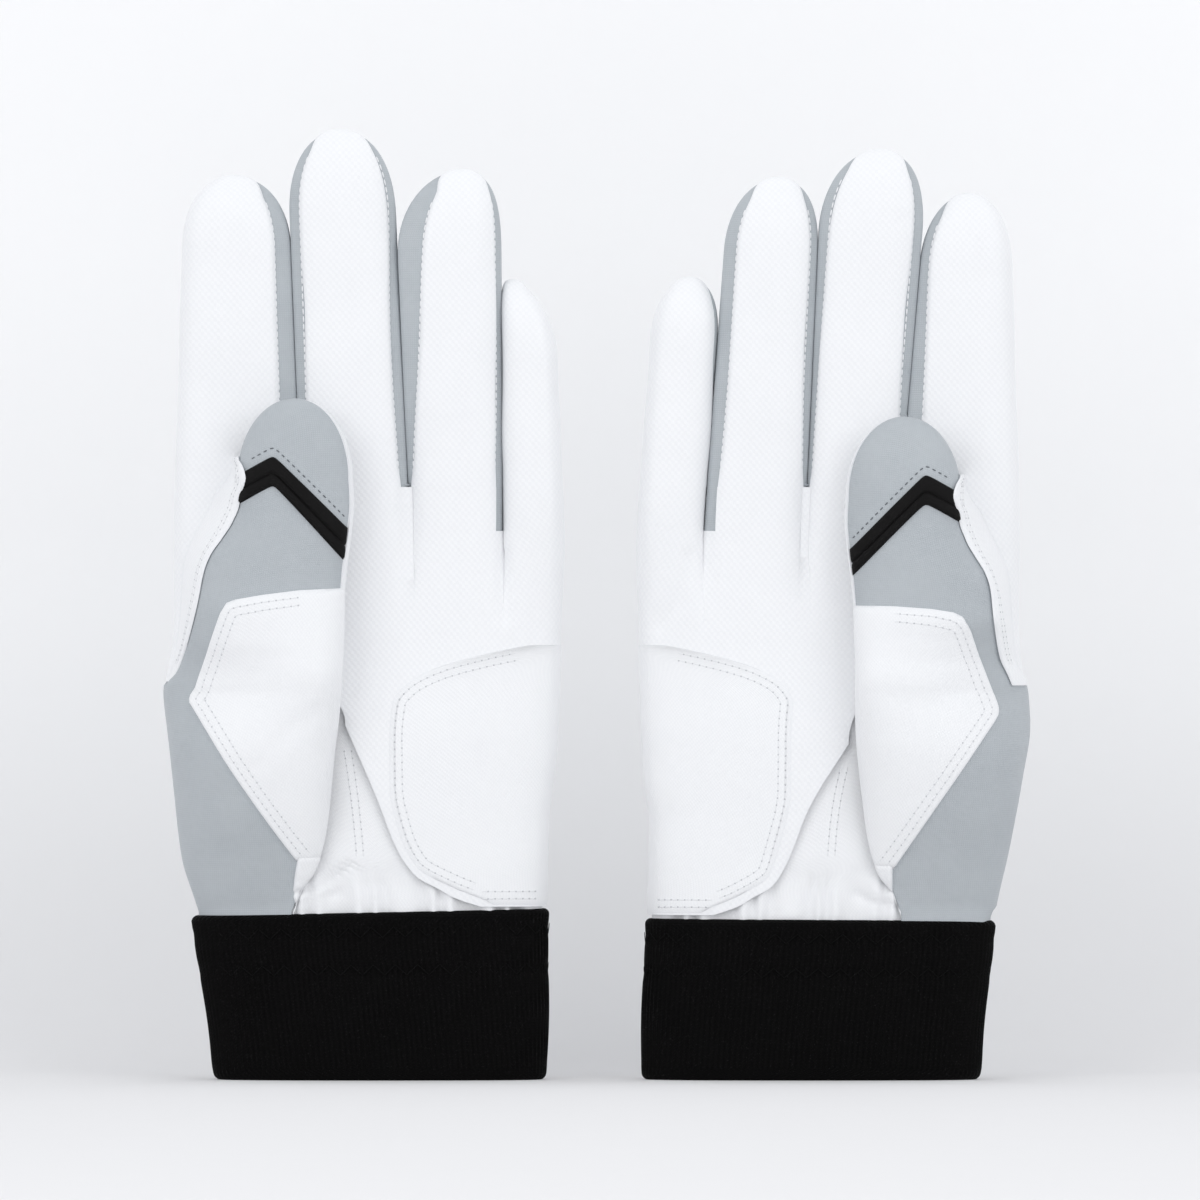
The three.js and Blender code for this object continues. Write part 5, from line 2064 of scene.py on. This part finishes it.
@dataclass
class Thumb:
    """The folded thumb: its grey panel, leather, patch, chevron, and the web that laps onto it."""

    shop: Workshop
    cloth: float = 0.7
    leather: float = 0.9
    lining_lift: float = 0.25
    lining_reach: float = 0.97
    bedding: float = 0.4
    patch: float = 0.65
    patch_bevel: float = 0.9
    patch_spread: float = 0.35
    lip: float = 0.8
    lip_lift: float = 0.2
    lip_bedding: float = 0.6
    trim: float = 0.7
    trim_lift: float = 0.2
    trim_bevel: float = 0.8
    chevron_x: float = -24.2
    chevron_band: float = 7.3
    chevron_slope: float = 0.56
    chevron_bend: float = 0.4
    groove: tuple[float, float, float] = (0.43, 0.055, 0.5)
    dash_rise: float = 2.2
    lap: float = 0.35
    sink: float = 0.7
    flap_stand: float = 1.2
    flap_slopes: tuple[float, float] = (60.0, 6.0)
    flap_bulge: tuple[float, float, float] = (5.4, 3.4, 1.9)
    foot_run: float = 38.0
    patch_rows: tuple[float, ...] = (1.9, 3.8)
    flap_rows: tuple[float, ...] = (2.4, 4.0)
    patch_lift: float = 0.3
    dash_pitch: float = 1.8
    swell: Swell = Swell(27.0, 0.35, 51)
    patch_swell: Swell = Swell(19.0, 0.12, 61)
    lip_swell: Swell = Swell(7.0, 0.15, 63)
    flap_swell: Swell = Swell(16.0, 0.12, 71)

    def build(self) -> None:
        """Makes the thumb's pieces."""
        self.panel()
        self.lining()
        self.wear_patch()
        self.hem()
        self.chevron()
        self.flap()

    def relief(self, points: Array) -> Array:
        """The height of the thumb cloth's gentle swells over points on the plain form."""
        z, tip = points[..., 2], self.shop.form.tip
        return self.swell.on(points) * hump(z, (44, 58), (tip - THUMB_DOME, tip))

    def patch_folds(self, points: Array) -> Array:
        """How far the patch's folds and swells move its points out."""
        return self.shop.form.creased("patch", points) + self.patch_swell.on(points)

    def panel(self) -> None:
        """The grey panel, from the cuff round the thumb side and over the thumb's tip."""
        form = self.shop.form
        index = form.fingers[0]
        seam = float(form.across(index.point(-WRAP_ANGLE, FINGER_ROOT)[0], FINGER_ROOT))
        turns = np.linspace(math.asin(abs(seam) ** (SECTION_POWER / 2)), math.pi / 2, 12)[:-1]
        places = spread(46) * form.pose.thumb_rim
        low = np.linspace(TUCK, THUMB_SPLIT, 42)
        middle = np.linspace(THUMB_SPLIT, form.tip - THUMB_DOME, 38)[1:]
        rows = np.concatenate([low, middle, dome_rows(form.tip, THUMB_DOME, 20)])
        wrap = form.hand(-np.sin(turns)[None, :] ** (2 / SECTION_POWER), 1, rows[:, None])
        front = form.thumb(places[None, :], -1, rows[:, None])
        points = np.concatenate([wrap, front], axis=1)
        points[-1, :, 1] -= RIDGE_GAP
        keep = np.ones((len(rows) - 1, points.shape[1] - 1), dtype=bool)
        keep[len(low) + 2 :, : len(turns)] = False
        wrapped = np.concatenate([np.ones(len(turns)), 1 - ease(places, 0, 0.15)])
        under_leather = self.sink * ease(rows, *UNDER_INDEX)[:, None] * (wrapped == 1)
        in_cuff = form.cuff_tuck(rows)[:, None] * wrapped
        outer = Sheet(points, keep).raised(self.relief(points) - under_leather - in_cuff)
        piece = self.shop.shell("thumb_cloth", outer, self.cloth, Finish.CLOTH)
        self.shop.lift(piece, "thumb_panel", "thumb_tip_panel")

    def lining(self) -> None:
        """The leather on the thumb's palm side, rolled round its free edge."""
        form = self.shop.form
        straight = np.linspace(form.crotch + 2, form.tip - THUMB_DOME, 40)
        rows = np.concatenate([straight, dome_rows(form.tip, THUMB_DOME, 18)])
        rim = mix(form.pose.thumb_rim, 1.0, np.linspace(0.0, 1, 7))
        rear = 1 - spread(22) * self.lining_reach
        z = rows[:, None]
        front = form.thumb(rim[None, :], -1, z)
        behind = form.thumb(rear[None, 1:], 1, z)
        points = np.concatenate([front, behind], axis=1)
        points[-1, :, 1] += RIDGE_GAP
        outer = Sheet(points).raised(self.lining_lift * (1 - ease(z, form.tip - 3, form.tip)))
        piece = self.shop.shell("thumb_lining", outer, self.leather, Finish.LEATHER)
        self.shop.lift(piece, "thumb_leather", "thumb_tip_leather")

    def patch_outline(self) -> Array:
        """The patch's open edge.

        Returns:
            Its corners, from its foot round to its top right corner.
        """
        form = self.shop.form
        upper = np.array([(x, form.tip - drop) for x, drop in form.pose.patch])
        share = np.linspace(0, 1, 9)[:-1, None]
        side = mix(np.array(form.pose.patch_foot), upper[-1], share)
        side[:, 0] -= 4 * form.pose.patch_bow * (share * (1 - share))[:, 0]
        return inset(np.concatenate([side, upper[::-1]]), -self.patch_spread)

    def wear_patch(self) -> None:
        """The five-sided patch over the base of the thumb, with two rows of stitches."""
        form = self.shop.form
        outline = self.patch_outline()
        side, top = outline[:-PATCH_CROWN], outline[-PATCH_CROWN - 1 :]
        foot, corner, end = side[0], top[0], top[-1]
        rise = np.linspace(0, 1, 66)[:, None]
        share = spread(46)[None, :]
        low = mix(foot[1], corner[1], rise)
        left = np.interp(low, side[:, 1], side[:, 0])
        crest = np.interp(mix(corner[0], end[0], share), top[:, 0], top[:, 1])
        z = mix(low, mix(foot[1], end[1], rise), share)
        z = z + (crest - mix(corner[1], end[1], share)) * rise**6
        x = mix(left, form.thumb_right(z) - 0.2, share)
        base = Sheet(form.thumb_front(x, z))
        relief = self.relief(base.points)
        thick = self.patch * base.bevel(self.patch_bevel)
        outer = base.raised(relief + self.patch_lift + thick + self.patch_folds(base.points))
        inner = base.raised(relief - self.bedding)
        piece = self.shop.shell("thumb_patch_skin", outer, inner, Finish.PATCH)
        self.shop.lift(piece, "thumb_patch")
        full = self.patch_lift + self.patch
        face = stand_off(form.thumb_front, lambda p: self.relief(p) + full + self.patch_folds(p))
        topstitch = Topstitch(self.shop)
        for gap in self.patch_rows:
            line = inset(outline, gap)
            topstitch.row(face, line[line[:, 0] < form.thumb_right(line[:, 1]) - 0.9])
        for made in topstitch.finish("thumb_patch"):
            self.shop.lift(made)

    def hem(self) -> None:
        """The white lip of the wrist's under-layer where it turns over the thumb's foot."""
        form = self.shop.form
        lip = form.pose.lip
        rows = np.linspace(TUCK, lip[-1][0], 40)
        z = rows[:, None]
        x = mix(Curve(lip)(z), form.thumb_right(z) + 0.2, spread(22)[None, :])
        base = Sheet(form.thumb_front(x, z))
        folds = self.lip_swell.on(base.points) + form.creased("foot", base.points)
        foot = form.pose.patch_foot[1]
        height = self.lip * base.bevel(1.0) * (1 - ease(z, foot, foot + 2))
        outer, inner = base.raised(self.lip_lift + height + folds), base.raised(-self.lip_bedding)
        piece = self.shop.shell("thumb_foot_lip", outer, inner, Finish.PATCH)
        self.shop.fix(piece)

    def chevron_ridge(self, x: Array) -> Array:
        """The chevron's upper edge.

        Args:
            x: Places from side to side.

        Returns:
            The edge's height at each place.
        """
        form = self.shop.form
        run = x - self.chevron_x - form.pose.thumb_shift
        web, (drop, edge, _) = self.chevron_slope, form.pose.chevron
        bend = np.sqrt(run**2 + self.chevron_bend) - math.sqrt(self.chevron_bend)
        return form.tip - drop - (web + edge) / 2 * bend + (web - edge) / 2 * run

    def flap_edge(self, z: Array) -> Array:
        """The web flap's edge on the thumb.

        Args:
            z: Heights.

        Returns:
            The edge's place from side to side at each height.
        """
        form = self.shop.form
        top = form.tip - FLAP_DROP
        below, width, height = self.flap_bulge
        bulge = height * np.exp(-(((z - top + below) / width) ** 2))
        bulge = bulge - 0.9 * ease(z, top - 2.5, top)
        foot = form.pose.flap_foot * np.clip(1 - (z - FLAP_FOOT) / self.foot_run, 0, 1)
        return form.thumb_sides(z)[0] + self.lap + bulge + foot

    def rim(self, z: Array) -> Array:
        """Where the thumb's cloth meets its leather."""
        left, right, _ = self.shop.form.thumb_sides(z)
        return mix(left, right, self.shop.form.pose.thumb_rim)

    def chevron_end(self, drop: Array, line: Callable[[Array], Array]) -> Array:
        """Where the chevron meets a line up the thumb.

        Args:
            drop: Drops from the chevron's upper edge.
            line: The line's place at a height.

        Returns:
            The places from side to side.
        """
        x = np.full(np.shape(drop), self.chevron_x)
        for _ in range(20):
            x = line(self.chevron_ridge(x) - drop)
        return x

    def chevron(self) -> None:
        """The black chevron band with its groove, and the dashed line of stitches above it."""
        form = self.shop.form
        share = np.linspace(0, 1, 15)[:, None]
        drop = self.chevron_band * (1 - share)
        peak = self.chevron_x + form.pose.thumb_shift
        web = self.chevron_end(drop, self.flap_edge) - 0.05
        free = self.chevron_end(drop, self.rim)
        to_peak, to_end = np.linspace(0, 1, 16)[None, :-1], np.linspace(0, 1, 36)[None, :]
        x = np.concatenate([mix(web, peak, to_peak), mix(peak, free, to_end)], axis=1)
        wider = 1 + form.pose.chevron[2] * np.maximum(x - peak, 0)
        base = Sheet(form.thumb_front(x, self.chevron_ridge(x) - drop * wider))
        relief = self.relief(base.points)
        middle, width, depth = self.groove
        groove = depth * np.exp(-(((share - middle) / width) ** 2))
        thick = self.trim * base.bevel(self.trim_bevel)
        outer = base.raised(relief + self.trim_lift + thick - groove)
        inner = base.raised(relief - self.bedding)
        piece = self.shop.shell("thumb_chevron_band", outer, inner, Finish.TRIM)
        self.shop.lift(piece, "thumb_chevron")
        x = np.linspace(web[-1, 0] + 1.5, free[-1, 0] - 0.4, 60)
        line = np.stack([x, self.chevron_ridge(x) + self.dash_rise], axis=-1)
        dashes = Seam(self.shop, Sewing.DASH)
        dashes.row(stand_off(form.thumb_front, self.relief), line, self.dash_pitch)
        self.shop.lift(dashes.finish("chevron_stitches", Finish.GREY_THREAD))

    def flap(self) -> None:
        """The web of index-side leather that laps forward onto the thumb's seam."""
        form = self.shop.form
        top = form.tip - FLAP_DROP
        foot = np.linspace(FLAP_FOOT, FLAP_NECK, 6)[:-1]
        rows = np.concatenate([foot, np.linspace(FLAP_NECK, top, 60)])
        z = rows[:, None]
        edge = self.flap_edge(rows)
        seam = form.thumb_front(edge, rows)
        upper = ((form.tip - 40, 0.22), (form.tip - 25, 0.55), (top, 0.93))
        shares = ((FLAP_FOOT, 0.0), (FLAP_FREE[1], 0.07), *upper)
        start = mix(form.radial_edge(rows) + 0.8, edge - 0.3, Curve(shares)(rows))
        left, right, _ = (side[:, None] for side in form.thumb_sides(rows))
        cut = form.pose.flap_foot > 0
        above = np.maximum(ease(rows, *FLAP_CUT), not cut)
        start = mix(form.radial_edge(rows) - 0.1, start, above)
        ground = form.index_front(start, rows)[:, 1] - 0.35
        share = np.linspace(0, 1, 44) ** 1.3
        tuck = np.maximum(ease(z, *FLAP_TUCK), cut)
        stand = self.flap_stand * tuck
        x = mix(start[:, None], edge[:, None], share[None, :])
        depth = mix(share, smooth(share), 0.6)
        y = mix(ground[:, None], seam[:, 1:2] - stand, depth[None, :])
        low = 1 - ease(z, *FLAP_FREE)
        inside = x + 0.5 * (1 - share) * low * tuck - left
        on_thumb = form.thumb(np.clip(inside / (right - left), 0.0, 0.996), -1, z)[..., 1]
        slope = mix(*self.flap_slopes, low)
        y = np.minimum(y, on_thumb - stand + slope * np.maximum(-inside, 0))
        sheet = Sheet(lay(x, y, z))
        along, _, _ = sheet.spans()
        reach = along[:, -1:] - along
        rise = rounding(reach, 1.0) * ease(along - along[:, :1], 0, 4)
        outer = sheet.raised(rise * 0.5 * tuck + self.flap_swell.on(sheet.points))
        piece = self.shop.shell("web_flap_skin", outer, self.leather, Finish.LEATHER)
        self.shop.fix(piece, "web_flap")
        topstitch = Topstitch(self.shop)
        for gap in self.flap_rows:
            wide = np.flatnonzero((reach[:, 0] > gap + 1.5) & (rows > FLAP_FREE[0]))
            line, out = (
                np.array([read_row(gap, reach[r, ::-1], grid[r, ::-1]) for r in wide])
                for grid in (outer.points, outer.normals())
            )
            topstitch.trail(line, out)
        for made in topstitch.finish("web_flap"):
            self.shop.fix(made)


CUFF_GIRTH = 235.0
FINE_TURNS = 7201


@dataclass
class Cuff:
    """The folded knit cuff with its ribs and zigzag stitching."""

    shop: Workshop
    ribs: int = 152
    rib_depth: float = 0.16
    rib_steps: int = 4
    lip: float = 1.5
    lining_lip: float = 0.8
    zigzag_heights: tuple[float, float] = (36.6, 27.4)
    zigzag_period: float = 6.5
    zigzag_swing: float = 2.5
    sewn_width: float = 1.7
    sewn_depth: float = 0.22
    swell: Swell = Swell(24.0, 0.3, 81)

    def build(self) -> None:
        """Makes the cuff's pieces."""
        self.band()
        self.zigzags()
        node = bpy.data.objects.get(f"{self.shop.side}_cuff_elastic")
        if node is not None:
            node.data.materials.clear()
            node.data.materials.append(Finish.ELASTIC.material())

    def point(self, turn: Array, inset_by: Array, z: Array) -> Array:
        """Points of the cuff.

        Args:
            turn: Their angles round the wrist.
            inset_by: How far they are set in from its outer face.
            z: Their heights, before its top edge is tilted.

        Returns:
            The points.
        """
        taper = CUFF_TAPER * (1 - z / CUFF_HEIGHT)
        c, s = np.cos(turn), np.sin(turn)
        power = 2 / SECTION_POWER
        x = taper / 2 + (CUFF_HALF_WIDTH - taper / 2 - inset_by) * np.sign(c) * np.abs(c) ** power
        y = (CUFF_HALF_DEPTH - inset_by) * np.sign(s) * np.abs(s) ** power
        across = np.clip(x / CUFF_HALF_WIDTH, -1, 1)
        thumb, other = (mix(*side, z / CUFF_HEIGHT) for side in self.shop.form.pose.cuff_sides)
        x = x + np.where(across < 0, thumb, other) * across * np.abs(across)
        tilt = mix(*self.shop.form.pose.cuff_tops, across / 2 + 0.5)
        return lay(x, y, z + tilt * ease(z, 16, CUFF_HEIGHT))

    def even_turns(self, count: int) -> Array:
        """Angles that are evenly spaced along the cuff's outline.

        Args:
            count: How many are wanted.

        Returns:
            The angles.
        """
        fine = np.linspace(0, 2 * math.pi, FINE_TURNS)
        run = run_of(self.point(fine, 0.0, np.full(len(fine), CUFF_HEIGHT / 3)))
        return np.interp(np.arange(count) / count * run[-1], run, fine)

    def band(self) -> None:
        """The knit band: up its outer face, over its top edge and down its lining."""
        turns = self.even_turns(self.ribs * self.rib_steps)
        lip, wall, top = self.lip, CUFF_WALL, CUFF_HEIGHT
        turned = wall - self.lining_lip
        arc = np.linspace(0, math.pi / 2, 5)
        low = [(lip * (1 - math.sin(a)), lip * (1 - math.cos(a))) for a in arc]
        outer = [(0.0, z) for z in np.linspace(lip, top - lip, 26)[1:-1]]
        crest = [(lip * (1 - math.cos(a)), top - lip * (1 - math.sin(a))) for a in arc]
        inner = [(wall, z) for z in np.linspace(top - self.lining_lip, self.lining_lip, 12)]
        profile = np.array(low + outer + crest + [(turned, top)] + inner + [(turned, 0.0)])
        profile = np.vstack([profile, profile[:1]])
        inset_by, z = profile[:, :1], profile[:, 1:]
        points = self.point(turns[None, :], inset_by, z + 0 * turns[None, :])
        wave = np.cos(np.arange(len(turns)) * 2 * math.pi / self.rib_steps)[None, :]
        outside = (inset_by < lip) * hump(z, (0.4, 3), (top - 2, top))
        sheet = Sheet(points, ring=True)
        swell = self.swell.on(points) * ease(z, 0.5, 8) + wave * self.rib_depth
        sewn = (np.exp(-(((z - h) / self.sewn_width) ** 2)) for h in self.zigzag_heights)
        relief = (swell - sum(sewn) * self.sewn_depth) * outside
        knit = Sheet(sheet.raised(relief).points[:, ::-1], ring=True)
        points = knit.points.reshape(-1, 3)
        weave = np.stack(knit.spans(), axis=-1).reshape(-1, 3)
        piece = self.shop.dress("cuff_band", points, knit.cells(), weave, Finish.KNIT)
        self.shop.fix(piece, "cuff_knit")

    def zigzags(self) -> None:
        """Two rows of zigzag stitches round the band."""
        seam = Seam(self.shop, Sewing.ZIGZAG)
        count = 2 * round(CUFF_GIRTH / self.zigzag_period)
        turns = self.even_turns(count)
        for height in self.zigzag_heights:
            swing = np.where(np.arange(count) % 2, -0.5, 0.5) * self.zigzag_swing
            nodes = self.point(turns, 0.0, height + swing)
            after = np.roll(nodes, -1, axis=0)
            along = unit(after - nodes)
            seam.add((nodes + after) / 2, along, unit(np.cross(along, UP)))
        self.shop.fix(seam.finish("cuff_zigzag", Finish.BLACK_THREAD))


# The studio


SKY = (0.95, 0.97, 1.0, 1.0)
SKY_STRENGTH = 0.80
LAMPS = (
    ("left_softbox", (-1.1, -1.5, 0.9), 1.2, 6.5),
    ("right_softbox", (1.1, -1.5, 0.9), 1.2, 6.5),
    ("top_softbox", (0.0, -0.5, 1.6), 1.4, 1.5),
)


@dataclass(frozen=True)
class Studio:
    """Camera, paper backdrop and soft light."""

    photo_pixels: float = 1200.0
    pixel: float = 0.25 * MM
    centre: tuple[float, float] = (0.9 * MM, 119.8 * MM)
    distance: float = 4.5
    sensor: float = 36.0
    clip_end: float = 20.0
    wall: float = 0.20
    bend: float = 0.14
    half_width: float = 2.5

    def build(self) -> None:
        """Sets up the studio."""
        self.camera()
        self.paper()
        self.lights()
        bpy.context.scene.view_settings.view_transform = "Standard"

    def camera(self) -> None:
        """A level camera that frames the photograph's square."""
        data = bpy.data.cameras.new("camera")
        data.sensor_width = self.sensor
        data.lens = self.sensor * self.distance / (self.photo_pixels * self.pixel)
        data.clip_end = self.clip_end
        camera = new_object("camera", data)
        camera.location = (self.centre[0], DEPTH_SHIFT * MM - self.distance, self.centre[1])
        camera.rotation_euler = (math.pi / 2, 0.0, 0.0)
        bpy.context.scene.camera = camera

    def paper(self) -> None:
        """A sheet of paper that curves up from the floor behind the gloves."""
        arc = np.linspace(0, math.pi / 2, 17)
        floor = [(y, 0.0) for y in (-2.5, -0.6, -0.2)]
        foot = self.wall - self.bend
        rise = [(foot + self.bend * math.sin(a), self.bend * (1 - math.cos(a))) for a in arc]
        wall = [(self.wall, z) for z in (0.4, 1.0, 2.2)]
        profile = np.array(floor + rise + wall)
        xs = np.linspace(-self.half_width, self.half_width, 9)
        points = lay(xs[None, :], profile[:, :1], profile[:, 1:])
        cells = Sheet(points).cells()
        mesh = bpy.data.meshes.new("backdrop")
        mesh.from_pydata(points.reshape(-1, 3).tolist(), [], cells)
        mesh.shade_smooth()
        mesh.materials.append(Backdrop().material())
        paper = new_object("backdrop", mesh)

    def lamp(self, name: str, place: Sequence[float], size: float, power: float) -> None:
        """A square soft light that faces the middle of the gloves.

        Args:
            name: Its name.
            place: Where it stands, in metres.
            size: The length of its sides.
            power: Its power in watts.
        """
        data = bpy.data.lights.new(name, "AREA")
        data.shape = "SQUARE"
        data.size = size
        data.energy = power
        lamp = new_object(name, data)
        lamp.location = place
        way = Vector((0, 0, self.centre[1])) - Vector(place)
        lamp.rotation_euler = way.to_track_quat("-Z", "Y").to_euler()

    def lights(self) -> None:
        """Two broad lights in front, one above, and an even sky."""
        for lamp in LAMPS:
            self.lamp(*lamp)
        world = bpy.data.worlds.new("sky")
        world.use_nodes = True
        background = world.node_tree.nodes["Background"]
        background.inputs["Color"].default_value = SKY
        background.inputs["Strength"].default_value = SKY_STRENGTH
        bpy.context.scene.world = world


def main() -> None:
    """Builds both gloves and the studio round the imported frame."""
    logging.basicConfig(level=logging.INFO, format="%(name)s: %(message)s")
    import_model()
    for hand in Hand:
        shop = Workshop(GloveForm(hand.value))
        for part in (PalmSide(shop), BackSide(shop), Thumb(shop), Cuff(shop)):
            part.build()
        LOG.info("%s glove: %d pieces", shop.side, shop.pieces)
    Studio().build()


if __name__ == "__main__":
    main()
